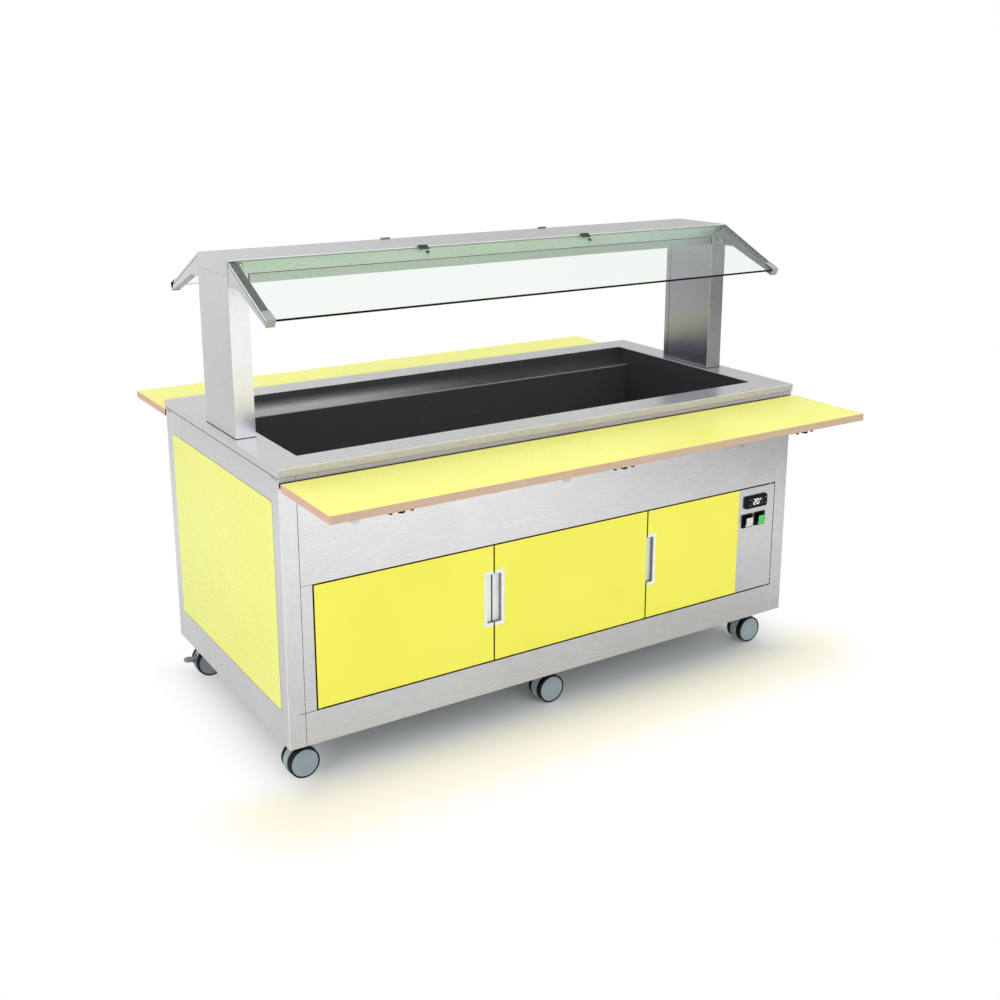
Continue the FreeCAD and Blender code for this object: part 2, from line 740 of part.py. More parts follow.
def thermostat_bezel():
    """A bezel with cut corners, and the body behind it."""
    w = "thermostat_width / 2"
    t = "thermostat_height / 2"
    outline = [
        (f"-({w}) + bezel_corner", f"-({t})"), (f"{w} - bezel_corner", f"-({t})"),
        (w, f"-({t}) + bezel_corner"), (w, f"{t} - bezel_corner"),
        (f"{w} - bezel_corner", t), (f"-({w}) + bezel_corner", t),
        (f"-({w})", f"{t} - bezel_corner"), (f"-({w})", f"-({t}) + bezel_corner"),
    ]
    bezel = pad("XZ_Plane", outline, "thermostat_proud", ("thermostat_x", "door_face", "thermostat_z"))
    rear = block(around("thermostat_x", "thermostat_body_width / 2"),
                 ("door_face", "door_face + thermostat_depth"),
                 around("thermostat_z", "thermostat_body_height / 2"))
    rooms = [block(around(x, "key_width / 2 + key_clearance"),
                   ("door_face - thermostat_proud - overrun",
                    "door_face - thermostat_proud + key_depth + key_proud"),
                   around(z, "key_height / 2 + key_clearance")) for _, x, z in KEYS]
    return cut(fuse(bezel, rear), *rooms)


def switch_bezel(x):
    outer = block(around(x, "switch_width / 2"), ("door_face - switch_proud", "door_face"),
                  around("switch_z", "switch_height / 2"))
    rear = block(around(x, "rocker_room + skin"), ("door_face", "door_face + switch_depth"),
                 around("switch_z", "rocker_rise + skin"))
    room = block(around(x, "rocker_room"),
                 ("door_face - switch_proud - overrun", "rocker_y + rocker_rise"),
                 around("switch_z", "rocker_rise"))
    return cut(fuse(outer, rear), room)


def rocker(name, x):
    """A tilted rocker, round behind its pivot so that it turns in its bezel."""
    front = block(about("rocker_width / 2"), ("-rocker_reach", "0"), about("rocker_height / 2"))
    drum = rod("x", ("-(rocker_width / 2)", "0", "0"), "rocker_height / 2", "rocker_width")
    body = fuse(front, drum)
    body.Placement.Rotation = FreeCAD.Rotation(FreeCAD.Vector(1, 0, 0), 1)
    body.setExpression("Placement.Rotation.Angle", bind("rocker_tilt * 1deg"))
    node(name, put(body, x, "rocker_y", "switch_z"))


def controls():
    places = ("switch_middle - switch_spacing / 2", "switch_middle + switch_spacing / 2")
    node("control_bezels", group(thermostat_bezel(), *[switch_bezel(x) for x in places]))
    for name, x in zip(("light_switch", "power_switch"), places):
        rocker(name, x)
    for name, x, z in KEYS:
        node(name, block(around(x, "key_width / 2"),
                         ("door_face - thermostat_proud - key_proud",
                          "door_face - thermostat_proud + key_depth"),
                         around(z, "key_height / 2")))


# Tray slides: a laminated board on three folding arms at each long side

def tray_pivots():
    return ("-bracket_pitch", "0", "bracket_pitch")


def tray_arm(y_sign, x):
    """A shallow channel under the board with a deeper root at its pivot."""
    width = around(x, "bracket_width / 2")
    pivot = side(y_sign, "pivot_y", "pivot_y")[0]
    channel = block(width, side(y_sign, "pivot_y", "tray_far - bracket_setback"),
                    ("tray_low - arm_height", "tray_low"))
    root = block(width, side(y_sign, "pivot_y", "pivot_y + root_length"),
                 ("pivot_z - eye_radius", "tray_low"))
    eye = rod("x", (f"{x} - bracket_width / 2", pivot, "pivot_z"), "eye_radius",
              "bracket_width")
    groove = block(around(x, "bracket_width / 2 - arm_wall"),
                   side(y_sign, "pivot_y + root_length + arm_wall",
                        "tray_far - bracket_setback - arm_wall"),
                   ("tray_low - arm_height + arm_wall", "tray_low + overrun"))
    hollow = block(around(x, "bracket_width / 2 - arm_wall"),
                   side(y_sign, "pivot_y + eye_radius + arm_wall",
                        "pivot_y + root_length + arm_wall"),
                   ("pivot_z - eye_radius + arm_wall", "tray_low + overrun"))
    bore = rod("x", (f"{x} - bracket_width", pivot, "pivot_z"), "pivot_radius + fit",
               "2 * bracket_width")
    return cut(fuse(channel, root, eye), groove, hollow, bore)


def arm_buffers(y_sign, x):
    """Three round rubber feet under an arm's outer end."""
    y = side(y_sign, "tray_far - buffer_setback", "tray_far - buffer_setback")[0]
    low = "tray_low - arm_height - buffer_drop"
    places = ((x, "buffer_radius"), (f"{x} - buffer_spacing", "side_buffer_radius"),
              (f"{x} + buffer_spacing", "side_buffer_radius"))
    return [rod("z", (place, y, low), radius, "buffer_drop") for place, radius in places]


def wall_bracket(y_sign, x):
    """A head with two ears and a pin, and a round-ended tail below it."""
    half = "bracket_width / 2 + ear_gap + ear_thickness"
    depth = side(y_sign, "body_side", "body_side + plate_thickness")
    plate = block(around(x, half), depth, around("pivot_z", "plate_height / 2"))
    tail_end = "pivot_z - tail_drop + tail_width / 2"
    tail = block(around(x, "tail_width / 2"), depth, (tail_end, "pivot_z"))
    tip = rod("y", (x, depth[0], tail_end), "tail_width / 2", "plate_thickness")
    ears = [block(reach(x, sign, "bracket_width / 2 + ear_gap", half),
                  side(y_sign, "body_side", "pivot_y + ear_radius"),
                  around("pivot_z", "ear_radius")) for sign in (-1, 1)]
    pin = rod("x", (f"{x} - ({half})", side(y_sign, "pivot_y", "pivot_y")[0], "pivot_z"),
              "pivot_radius", f"2 * ({half})")
    return fuse(plate, tail, tip, *ears, pin)


def tray_slides():
    brackets = []
    for name, y_sign in (("front", -1), ("back", 1)):
        node(f"{name}_tray_board", block(
            about("tray_end"), side(y_sign, "tray_near", "tray_far"), ("tray_low", "tray_top")))
        node(f"{name}_tray_arms", group(*[tray_arm(y_sign, x) for x in tray_pivots()]))
        node(f"{name}_tray_buffers", group(
            *[foot for x in tray_pivots() for foot in arm_buffers(y_sign, x)]))
        brackets.extend(wall_bracket(y_sign, x) for x in tray_pivots())
    node("tray_brackets", group(*brackets))


# Twin-wheel casters

def trailing(x):
    """The wheels' middle, which trails the swivel axis."""
    return f"{x} + caster_trail"


def wheel_pair(name, x, y):
    """Two wheels and their axle, turned as one outline about the axle."""
    def wheel(sign):
        s = "-" if sign < 0 else ""
        middle = "(wheel_inner + wheel_outer) / 2"
        return [
            ("axle_radius", f"{s}(wheel_inner)"),
            ("wheel_radius - tyre_edge", f"{s}(wheel_inner)"),
            ("wheel_radius", f"{s}(wheel_inner + tyre_edge)"),
            ("wheel_radius", f"{s}({middle} - tread_groove)"),
            ("wheel_radius - tread_groove", f"{s}({middle})"),
            ("wheel_radius", f"{s}({middle} + tread_groove)"),
            ("wheel_radius", f"{s}(wheel_outer - tyre_edge)"),
            ("wheel_radius - tyre_edge", f"{s}(wheel_outer)"),
            ("hub_radius", f"{s}(wheel_outer)"),
            ("hub_radius - hub_dish", f"{s}(wheel_outer - hub_dish)"),
            ("0", f"{s}(wheel_outer - hub_dish)"),
        ]
    points = wheel(1)[::-1] + wheel(-1)
    centre = (trailing(x), y, "wheel_radius")
    node(f"{name}_wheels", turned(points, "V_Axis_Y", centre))


def caster_housing(name, x, y, braked):
    centre_x = trailing(x)
    disc = rod("y", (centre_x, f"{y} - housing_half", "wheel_radius"), "housing_radius",
               "2 * housing_half")
    neck = rod("z", (x, y, "wheel_radius"), "neck_radius", "neck_top - wheel_radius")
    cheek = block(around(x, "neck_radius"), around(y, "housing_half"),
                  ("wheel_radius", "wheel_radius + housing_radius"))
    room = [block(around(centre_x, "housing_radius + overrun"),
                  reach(y, sign, "housing_half", "caster_width"),
                  ("0", "2 * wheel_radius + 2 * housing_gap")) for sign in (-1, 1)]
    stem = rod("z", (x, y, "neck_top - overrun"), "stem_radius",
               "swivel_gap + pad_thickness + stem_reach + overrun")
    foot = block(around(centre_x, "housing_radius + overrun"), around(y, "caster_width"),
                 ("-overrun", "housing_floor"))
    axle = rod("y", (centre_x, f"{y} - caster_width", "wheel_radius"), "axle_radius + fit",
               "2 * caster_width")
    tools = [*room, foot, axle]
    if braked:
        tools.append(block(
            reach(x, -1, "pedal_pivot - pedal_thickness - slot_clearance",
                  "pedal_length + overrun"),
            around(y, "pedal_width / 2 + slot_clearance"), ("slot_low", "slot_high")))
    shell = cut(fuse(disc, neck, cheek, stem), *tools)
    if braked:
        pin = rod("y", (f"{x} - pedal_pivot", f"{y} - housing_half", "pedal_rise"),
                  "pedal_pin", "2 * housing_half")
        shell = fuse(shell, pin)
    node(f"{name}_caster", shell)


def brake_pedal(name, x, y):
    """A lever ahead of the swivel axis that ends in a round paddle."""
    pivot_x = f"{x} - pedal_pivot"
    eye = rod("y", (pivot_x, f"{y} - pedal_width / 2", "pedal_rise"), "pedal_thickness",
              "pedal_width")
    paddle_x = f"{x} - (pedal_length - paddle_radius)"
    low = "pedal_rise - pedal_drop"
    lever = block((paddle_x, pivot_x), around(y, "pedal_width / 2"),
                  (low, f"{low} + pedal_thickness"))
    paddle = rod("z", (paddle_x, y, low), "paddle_radius", "pedal_thickness")
    bore = rod("y", (pivot_x, f"{y} - pedal_width", "pedal_rise"), "pedal_pin + fit",
               "2 * pedal_width")
    node(f"{name}_brake_pedal", cut(fuse(eye, lever, paddle), bore))


def casters():
    for name, x, y, braked in CASTERS:
        caster_housing(name, x, y, braked)
        wheel_pair(name, x, y)
        if braked:
            brake_pedal(name, x, y)


# Condensing unit behind the service door

def compressor():
    r = "compressor_radius"
    base = "compressor_low"
    top = "compressor_top"
    outline = [
        ("0", base), (f"{r} - crown / 2", base), (r, f"{base} + crown / 2"),
        (r, f"{top} - crown"), (f"{r} - crown / 3", f"{top} - crown / 3"),
        (f"{r} - crown", top), ("0", top),
    ]
    shell = turned(outline, "V_Axis_Z", ("compressor_x", "compressor_y", "0"))
    plate = block(around("compressor_x", "foot_spacing + foot_radius"),
                  around("compressor_y", "foot_spacing + foot_radius"),
                  ("rail_high + compressor_foot", base))
    feet = [rod("z", (f"compressor_x {sx} foot_spacing", f"compressor_y {sy} foot_spacing", "rail_high"),
                "foot_radius", "compressor_foot") for sx in "+-" for sy in "+-"]
    stub = rod("z", (f"compressor_x - {r} / 2", "compressor_y", f"{top} - crown"),
               "stub_radius", "stub_length + crown / 2")
    node("compressor", fuse(shell, plate, *feet, stub))


def condenser():
    """A finned coil with the fan's shroud and motor behind it."""
    half = "coil_width / 2"
    coil = block(around("coil_x", half), ("coil_y", "coil_y + coil_depth"),
                 ("rail_high", "coil_top"))
    count = int(float(doc.Places.evalExpression(bind("(coil_width - 2 * fin_pitch) / fin_pitch"))))
    slots = [block((f"coil_x - {half} + fin_pitch * {i + 1}",
                    f"coil_x - {half} + fin_pitch * {i + 1} + fin_gap"),
                   ("coil_y - overrun", "coil_y + coil_depth / 2"),
                   ("coil_low + fin_pitch", "coil_top - fin_pitch"))
             for i in range(count)]
    shroud = block(around("coil_x", half), ("coil_y + coil_depth", "shroud_back"),
                   ("rail_high", "coil_top"))
    throat = rod("y", ("coil_x", "coil_y + coil_depth", "fan_z"), "fan_opening",
                 "shroud_depth + overrun")
    motor = rod("y", ("coil_x", "shroud_back - strut_width", "fan_z"), "motor_radius",
                "motor_length")
    strut = block(around("coil_x", "strut_width / 2"),
                  ("shroud_back - strut_width / 2", "shroud_back"),
                  around("fan_z", "fan_opening + strut_width / 2"))
    shaft = rod("y", ("coil_x", "shroud_back - strut_width - fan_depth", "fan_z"),
                "shaft_radius", "fan_depth + strut_width")
    body = cut(fuse(coil, shroud), throat, *slots)
    node("condenser", fuse(body, motor, strut, shaft))


def fan():
    """Pitched blades on a hub, trimmed to the fan's circle."""
    start = "shroud_back - strut_width - fan_depth"
    hub = rod("y", ("coil_x", f"{start} - seam", "fan_z"), "hub_size", "fan_depth")
    bore = rod("y", ("coil_x", f"{start} - seam - overrun", "fan_z"), "shaft_radius + fit",
               "fan_depth + 2 * overrun")
    trim = rod("y", ("coil_x", f"{start} - seam", "fan_z"), "fan_radius", "fan_depth")
    blades = []
    for i in range(BLADES):
        blade = doc.addObject("Part::Box", "Blade")
        blade.setExpression("Length", bind("fan_radius"))
        blade.setExpression("Width", bind("fan_depth * 2"))
        blade.setExpression("Height", bind("blade_thickness"))
        spin = FreeCAD.Rotation(FreeCAD.Vector(0, 1, 0), 360 / BLADES * i)
        pitch = FreeCAD.Rotation(FreeCAD.Vector(1, 0, 0), BLADE_PITCH)
        blade.Placement.Rotation = spin.multiply(pitch)
        lead = spin.multiply(pitch).multVec(FreeCAD.Vector(0, 1, 0))
        put(blade, f"coil_x - fan_depth * {lead.x:.6f}",
            f"{start} - seam + fan_depth / 2 - fan_depth * {lead.y:.6f}",
            f"fan_z - fan_depth * {lead.z:.6f}")
        blades.append(blade)
    node("condenser_fan", cut(common(fuse(hub, *blades), trim), bore))


worktop()
well()
frame()
panels()
cabinet_floor()
column("left_column", -1)
column("right_column", 1)
canopy()
guards()
fixings()
doors()
service_door()
controls()
tray_slides()
casters()
compressor()
condenser()
fan()
doc.recompute()

# Every object has to be sound before anything is written
for item in doc.Objects:
    if "Invalid" in item.State or "Error" in item.State:
        raise RuntimeError(f"{item.Label} failed: {item.State}")
for item in nodes:
    if item.Shape.isNull() or not item.Shape.isValid() or not item.Shape.Solids:
        raise RuntimeError(f"{item.Label} has no sound shape")

os.makedirs("parts", exist_ok=True)
for item in nodes:
    item.Shape.exportStep(f"parts/{item.Label}.step")
    print(item.Label, len(item.Shape.Solids), round(item.Shape.Volume))
print(len(nodes), "nodes")
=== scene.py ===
# %% [markdown]
# # Dressing a self-service display case
# The case is a low counter on casters: a steel body with coloured laminate doors
# and end panels, a cold well in the worktop, two columns that carry a canopy with
# sloping guard glass, and folding tray slides. The CAD model gives every piece its
# size and place. This lesson gives each piece its finish, rounds its edges as a
# press brake or a router leaves them, and adds what is too fine for the CAD.

# %% Load the frame
import bpy
import json
from math import radians, cos, sin, pi
from mathutils import Matrix, Vector

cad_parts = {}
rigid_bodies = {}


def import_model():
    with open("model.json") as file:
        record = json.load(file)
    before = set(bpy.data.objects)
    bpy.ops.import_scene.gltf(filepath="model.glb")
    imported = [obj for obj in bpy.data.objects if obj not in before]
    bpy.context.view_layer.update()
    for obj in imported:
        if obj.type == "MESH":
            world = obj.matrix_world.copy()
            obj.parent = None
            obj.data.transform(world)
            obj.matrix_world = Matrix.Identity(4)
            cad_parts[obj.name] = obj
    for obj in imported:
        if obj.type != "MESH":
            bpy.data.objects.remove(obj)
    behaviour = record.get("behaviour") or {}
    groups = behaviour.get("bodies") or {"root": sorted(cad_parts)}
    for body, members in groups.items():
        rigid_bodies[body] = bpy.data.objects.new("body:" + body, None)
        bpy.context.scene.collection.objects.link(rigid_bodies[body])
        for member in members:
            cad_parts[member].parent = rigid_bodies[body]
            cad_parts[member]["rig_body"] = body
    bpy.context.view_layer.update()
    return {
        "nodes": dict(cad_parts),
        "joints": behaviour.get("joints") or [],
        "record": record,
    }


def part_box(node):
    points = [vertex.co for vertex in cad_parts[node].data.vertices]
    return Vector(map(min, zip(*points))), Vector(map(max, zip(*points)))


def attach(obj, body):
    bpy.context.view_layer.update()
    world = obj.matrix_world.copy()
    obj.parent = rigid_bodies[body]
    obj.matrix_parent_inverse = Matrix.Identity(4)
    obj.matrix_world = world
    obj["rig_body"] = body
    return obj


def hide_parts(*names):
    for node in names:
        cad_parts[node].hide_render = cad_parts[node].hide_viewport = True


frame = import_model()
MM = 0.001

# %% [markdown]
# ## Colours
# Colours are written as a designer writes them, in sRGB hex. A shader needs linear
# values, so one function turns the first into the second, and every colour in the
# lesson goes through it.

# %% Colours
WHITE = (1, 1, 1, 1)


def linear(hex_colour):
    """Turns sRGB hex into linear red, green, blue and alpha."""
    values = [int(hex_colour[i:i + 2], 16) / 255 for i in (1, 3, 5)]
    return [v / 12.92 if v <= 0.04045 else ((v + 0.055) / 1.055) ** 2.4 for v in values] + [1]


print("middle grey in linear values:", linear("#808080"))

# %% [markdown]
# ## Nodes
# One function adds any node: its settings, what feeds its inputs, and the stops of
# its ramp. A value, a socket or a whole node can feed an input, so a chain of sums
# reads from top to bottom. The names below are only short words for kinds of node
# and for their settings.

# %% Nodes
MATH, RANGE = "ShaderNodeMath", "ShaderNodeMapRange"
MIX, RAMP = "ShaderNodeMix", "ShaderNodeValToRGB"
PLUS, MINUS, TIMES = ({"operation": word} for word in ("ADD", "SUBTRACT", "MULTIPLY"))
LARGER, SMALLER = {"operation": "MAXIMUM"}, {"operation": "MINIMUM"}
SIZE, ROOT = {"operation": "ABSOLUTE"}, {"operation": "SQRT"}
SMOOTH = {"interpolation_type": "SMOOTHSTEP"}
COLOURS = {"data_type": "RGBA"}
COLOUR_A, COLOUR_B, COLOUR_OUT = 6, 7, 2      # a Mix node's sockets for colours


def add_node(tree, kind, settings=None, inputs=(), stops=()):
    """Adds a node with its settings, what feeds its inputs, and its ramp's stops.

    Inputs go in order or by name. Each is a value, a socket, or a node whose first
    output is meant.
    """
    made = tree.nodes.new(kind)
    for key, value in (settings or {}).items():
        setattr(made, key, value)
    for key, value in inputs.items() if isinstance(inputs, dict) else enumerate(inputs):
        feed = value.outputs[0] if isinstance(value, bpy.types.Node) else value
        if isinstance(feed, bpy.types.NodeSocket):
            tree.links.new(feed, made.inputs[key])
        else:
            made.inputs[key].default_value = feed
    if stops:
        elements = made.color_ramp.elements
        while len(elements) < len(stops):
            elements.new(0.5)
        for element, (place, colour) in zip(elements, stops):
            element.position, element.color = place, colour
    return made


print("one function adds every node")

# %% [markdown]
# ## Helpers for finishes
# A finish has three things: colour, gloss and relief. Each follows a noise pattern
# whose size is real, because every pattern reads Object coordinates in metres. So
# one function makes a new material, with its constants on the shader's own sockets,
# and one makes a pattern. The piece's own X, Y and Z tell where on it a point lies.

# %% Materials and patterns
def new_material(name, **shader_values):
    """A material with one Principled shader, and values for the sockets named."""
    material = bpy.data.materials.new(name)
    material.use_nodes = True
    shader = material.node_tree.nodes["Principled BSDF"]
    for key, value in shader_values.items():
        socket = "IOR" if key == "ior" else key.replace("_", " ").title()
        shader.inputs[socket].default_value = value
    return material, material.node_tree, shader


def grain_pattern(tree, scale, detail=2.0, stretch=(1, 1, 1), roughness=0.5):
    """A noise with a scale per metre, stretched along each axis."""
    place = add_node(tree, "ShaderNodeTexCoord").outputs["Object"]
    placed = add_node(tree, "ShaderNodeMapping", inputs={"Vector": place, "Scale": stretch})
    return add_node(tree, "ShaderNodeTexNoise", inputs={
        "Vector": placed, "Scale": scale, "Detail": detail,
        "Roughness": roughness}).outputs["Fac"]


def place_on_piece(tree):
    """The X, Y and Z of a point on the piece, in metres."""
    place = add_node(tree, "ShaderNodeTexCoord").outputs["Object"]
    return add_node(tree, "ShaderNodeSeparateXYZ", inputs=(place,)).outputs


print("materials, patterns and places ready")

# %% [markdown]
# ## Colour, gloss and relief in one step
# Nearly every finish here has the same build, so one function joins its patterns to
# the shader. A second one lays a further colour where a mask says so, for painted
# reflections, highlights and shade that don't cover the whole piece.

# %% Surfaces
def surface(tree, shader, tone, colours, grain, rough, relief=None, depth_mm=0, strength=1):
    """Colour from a tone pattern, gloss from a grain pattern, and relief from a third.

    Colours are (position, hex) stops. Rough is the least and the most roughness. The
    relief's full depth is in millimetres.
    """
    colour = add_node(tree, RAMP, inputs=(tone,),
                      stops=[(place, linear(value)) for place, value in colours])
    tree.links.new(colour.outputs["Color"], shader.inputs["Base Color"])
    gloss = add_node(tree, RANGE,
                     inputs={"Value": grain, "To Min": rough[0], "To Max": rough[1]})
    tree.links.new(gloss.outputs["Result"], shader.inputs["Roughness"])
    if relief:
        raised = add_node(tree, "ShaderNodeBump", inputs={
            "Height": relief, "Strength": strength, "Distance": depth_mm * MM})
        tree.links.new(raised.outputs["Normal"], shader.inputs["Normal"])


def tint_where(tree, shader, mask, hex_colour):
    """Lays another colour over the base colour where a mask is 1."""
    base = shader.inputs["Base Color"].links[0].from_socket
    tinted = add_node(tree, MIX, COLOURS,
                      {0: mask, COLOUR_A: base, COLOUR_B: linear(hex_colour)})
    tree.links.new(tinted.outputs[COLOUR_OUT], shader.inputs["Base Color"])


print("surfaces can be coloured, glossed, raised and tinted")

# %% [markdown]
# ## Brushed stainless steel
# The body, worktop and columns are 1.5 mm stainless sheet, brushed with a 240 grit
# belt. The belt leaves short scratches along one direction, so a noise is stretched
# ten to one. A real scratch is near 0.05 mm wide, too fine for the render, so the
# streaks are drawn as the 2 mm bundles that the eye picks out. A slow cloud of
# noise adds the faint blotches that handling leaves. The metal keeps its default IOR.

# %% Brushed stainless steel
STREAK = 2.2 * MM
STREAK_LENGTH = 10 * STREAK
CLOUDS_PER_METRE = 9.0


def brushed_steel(name, grain, light="#f5f5f5", dark="#e2e2e2", rough=(0.22, 0.36), metal=1.0):
    """Stainless sheet brushed along X, Y or Z."""
    material, tree, shader = new_material(name, metallic=metal)
    stretch = [1 / STREAK] * 3
    stretch["XYZ".index(grain)] = 1 / STREAK_LENGTH
    streaks = grain_pattern(tree, 1.0, 4.0, stretch, 0.7)
    clouds = grain_pattern(tree, CLOUDS_PER_METRE)
    blend = add_node(tree, MIX, inputs={"Factor": 0.25, "A": streaks, "B": clouds})
    surface(tree, shader, blend, [(0.34, dark), (0.64, light)], blend, rough, streaks, 0.08, 0.5)
    return material


# Bright sheet: soft, drawn-out highlights, with the streaks along the piece
steel_along = brushed_steel("stainless_brushed_lengthwise", "X")
steel_across = brushed_steel("stainless_brushed_crosswise", "Y")
steel_upright = brushed_steel("stainless_brushed_upright", "Z")
# A greyer tone for the tray brackets and arms, which the back clips also take as a painted light
steel_bracket_and_clip_light = brushed_steel("stainless_brushed_bracket_and_clip_light", "Z", "#dcdcdc", "#c8c8c8")
# Painted shade on the beam's faces, tinted green as if seen through the glass
steel_shaded = brushed_steel("stainless_beam_face_painted_shade", "X", "#cee0d9", "#bed0c9")
# Painted light on the left column's front face
steel_front_painted_light = brushed_steel("stainless_column_front_painted_light", "Z", "#f2f2f7", "#dfdfe5")
# Painted shade on the columns' inner faces
steel_column_painted_shade = brushed_steel("stainless_column_side_painted_shade", "Z", "#cacad6", "#bbbbc7")
# Painted shade on the arms' undersides and inner sides
steel_arm_painted_shade = brushed_steel("stainless_arm_side_painted_shade", "Y", "#a0a5a8", "#90959a")
# The worktop's edge, not brushed again after folding, is dull; a painted highlight
# runs along the folds, and painted shadow lies in the seams
steel_folded = brushed_steel("stainless_folded_edge", "X", "#d7d4e2", "#c0bdcc",
                             (0.5, 0.62), 0.58)
steel_painted_highlight = brushed_steel("stainless_painted_highlight_fold", "X", "#ffffff", "#f2f2f2",
                           (0.5, 0.6), 0.25)
seam_shade = brushed_steel("stainless_seam_shadow", "X", "#1c1c1c", "#141414", (0.6, 0.7))
# Dull mill finish of the sheets inside
steel_inner = brushed_steel("stainless_mill_finish", "X", "#a9a9a8", "#8d8d8c", (0.40, 0.55))
print("brushed steels ready")

# %% [markdown]
# ## Painted shade at the head of the body
# The last 10 mm of the fascias and posts below the worktop mirror nothing, because
# they lie under the worktop's overhang, so painted shade stands there: a greyer,
# duller, less metallic finish. The last 10 mm of the fascias and posts below the
# worktop mirror nothing in the photograph. A belt can't reach close under an overhang,
# so a dull film is likely to stay there. It could be a separate strip, but it is most
# likely the same sheet, so the finish itself changes at a height. The eye gets a soft
# band with no mirroring.

# %% Painted shade on the head
HEAD = 0.7455
HEAD_BLUR = 0.5 * MM


def painted_head_shade(material):
    """Paints shade above the head line: a greyer, duller, less metallic finish."""
    tree = material.node_tree
    shader = tree.nodes["Principled BSDF"]
    in_head = add_node(tree, RANGE, SMOOTH, (place_on_piece(tree)["Z"], HEAD - HEAD_BLUR,
                                             HEAD + HEAD_BLUR, 0.0, 1.0))
    tint_where(tree, shader, in_head, "#c6c2c8")
    bare = shader.inputs["Roughness"].links[0].from_socket
    for socket, clean, filmed in (("Roughness", bare, 0.6), ("Metallic", 1.0, 0.35)):
        blend = add_node(tree, MIX, inputs={"Factor": in_head, "A": clean, "B": filmed})
        tree.links.new(blend.outputs["Result"], shader.inputs[socket])
    return material


# Bright brushed steel with painted shade at the head, greyer and duller
steel_fascia = painted_head_shade(brushed_steel("stainless_brushed_fascia_shaded_head", "X"))
steel_post = painted_head_shade(brushed_steel("stainless_brushed_post_shaded_head", "Z"))
# The painted shade starts at the head line
print("film starts at", HEAD, "m")

# %% [markdown]
# ## The well's coating
# The well is a deep-drawn basin with a dark satin coat, which keeps the eye on the
# food. Its two ledges take a painted reflection, lighter most of all at the left, and a
# painted highlight along the ledge's inner edge. This painted light could come from an
# image, but masks on Object coordinates follow the ledge exactly and need no image.

# %% Well coating
LEDGE_EDGE = (0.2485, 0.2490)       # where the ledge starts, from the middle
EDGE_HIGHLIGHT_BAND = (0.2535, 0.2520)        # how far its painted edge highlight reaches
LEDGE_HEIGHT = (0.7230, 0.7238)
BAND_HEIGHT = (0.7285, 0.7275)
WALL_HEIGHT = (0.760, 0.728)
REFLECTION_FROM_TO = (0.25, -0.40)         # the painted reflection grows from right to left


def coated_well():
    """Dark satin coat, with a painted reflection on the ledge and a painted highlight along its
    edge.
    """
    material, tree, shader = new_material("satin_coated_basin", metallic=0.6)
    fine = grain_pattern(tree, 1 / (2 * MM), 2.0, (0.06, 1, 1))
    surface(tree, shader, fine, [(0.3, "#5c5b61"), (0.7, "#6a696f")], fine, (0.26, 0.38),
            fine, 0.02, 0.2)
    place = place_on_piece(tree)
    across = add_node(tree, MATH, SIZE, (place["Y"],))
    growing = add_node(tree, RANGE, SMOOTH, (place["X"], *REFLECTION_FROM_TO, 0.06, 1.0))
    wall_reflection = add_node(tree, RANGE, SMOOTH, (place["Z"], *WALL_HEIGHT, 0.0, growing))
    band = add_node(tree, RANGE, SMOOTH, (across, *EDGE_HIGHLIGHT_BAND, 0.0, 0.9))
    edge = add_node(tree, RANGE, SMOOTH, (place["Z"], *BAND_HEIGHT, 0.0, band))
    either = add_node(tree, MATH, LARGER, (wall_reflection, edge))
    above = add_node(tree, RANGE, SMOOTH, (place["Z"], *LEDGE_HEIGHT, 0.0, either))
    painted_reflection = add_node(tree, RANGE, SMOOTH, (across, *LEDGE_EDGE, 0.0, above))
    # Painted reflection on the ledge and wall, and a painted highlight along the ledge's edge
    tint_where(tree, shader, painted_reflection, "#d8d8da")
    return material


# A dark, soft sheen, with a silvery painted reflection and highlight on the ledges
well_coat = coated_well()
print("well coat rubbed from", REFLECTION_FROM_TO[0], "to", REFLECTION_FROM_TO[1], "m")

# %% [markdown]
# ## Laminate
# The doors, end panels and tray boards are faced with high-pressure laminate: a
# bright matt yellow with the fine pebble of its press plate, which keeps highlights
# soft. The end panels and tray tops take a paler copy with a painted sheen, so the
# doors look a touch deeper in colour. The core shows dark brown at the doors' edges,
# and the tray boards' edge towards the case takes a dark painted shade.

# %% Laminate
PEBBLE = 1.6 * MM


def laminate(name, light, dark):
    """Pressed laminate: an even colour with a 0.8 mm pebble, drawn 1.6 mm to show."""
    material, tree, shader = new_material(name, ior=1.5)
    pebble = grain_pattern(tree, 1 / PEBBLE, 1.0)
    surface(tree, shader, grain_pattern(tree, 5.0), [(0.3, dark), (0.7, light)],
            pebble, (0.22, 0.32), pebble, 0.01, 0.12)
    return material


# An even, bright yellow with soft highlights on the doors, and a paler copy with a
# painted sheen for the end panels and tray tops
yellow_laminate = laminate("laminate_yellow_matt", "#f8f15b", "#f5ed55")
laminate_painted_sheen = laminate("laminate_yellow_painted_sheen", "#f6f67c", "#f3f375")
# Painted shade on the tray boards' edge towards the case, and a brown line round the doors
tray_back_edge_shade = laminate("tray_back_edge_painted_shade", "#4c4526", "#40391e")
brown_core = laminate("laminate_core_dark_brown", "#74401f", "#64361a")
print("laminates ready, pebble", PEBBLE, "m")

# %% [markdown]
# ## Beech plywood edge
# The tray boards are plywood with bare sanded edges. Thin plies lie in turn along
# and across, so the edge shows pale and darker bands. A wave texture across the
# thickness gives the plies, and a stretched noise gives the grain. The short ends
# are pinker, because most of their fibres are cut across, and paler with painted light.

# %% Beech plywood edge
BAND = 1.4 * MM                     # a pale and a darker band together
BAND_SCALE = pi / (10 * BAND)       # at scale 1 the wave repeats every pi / 10


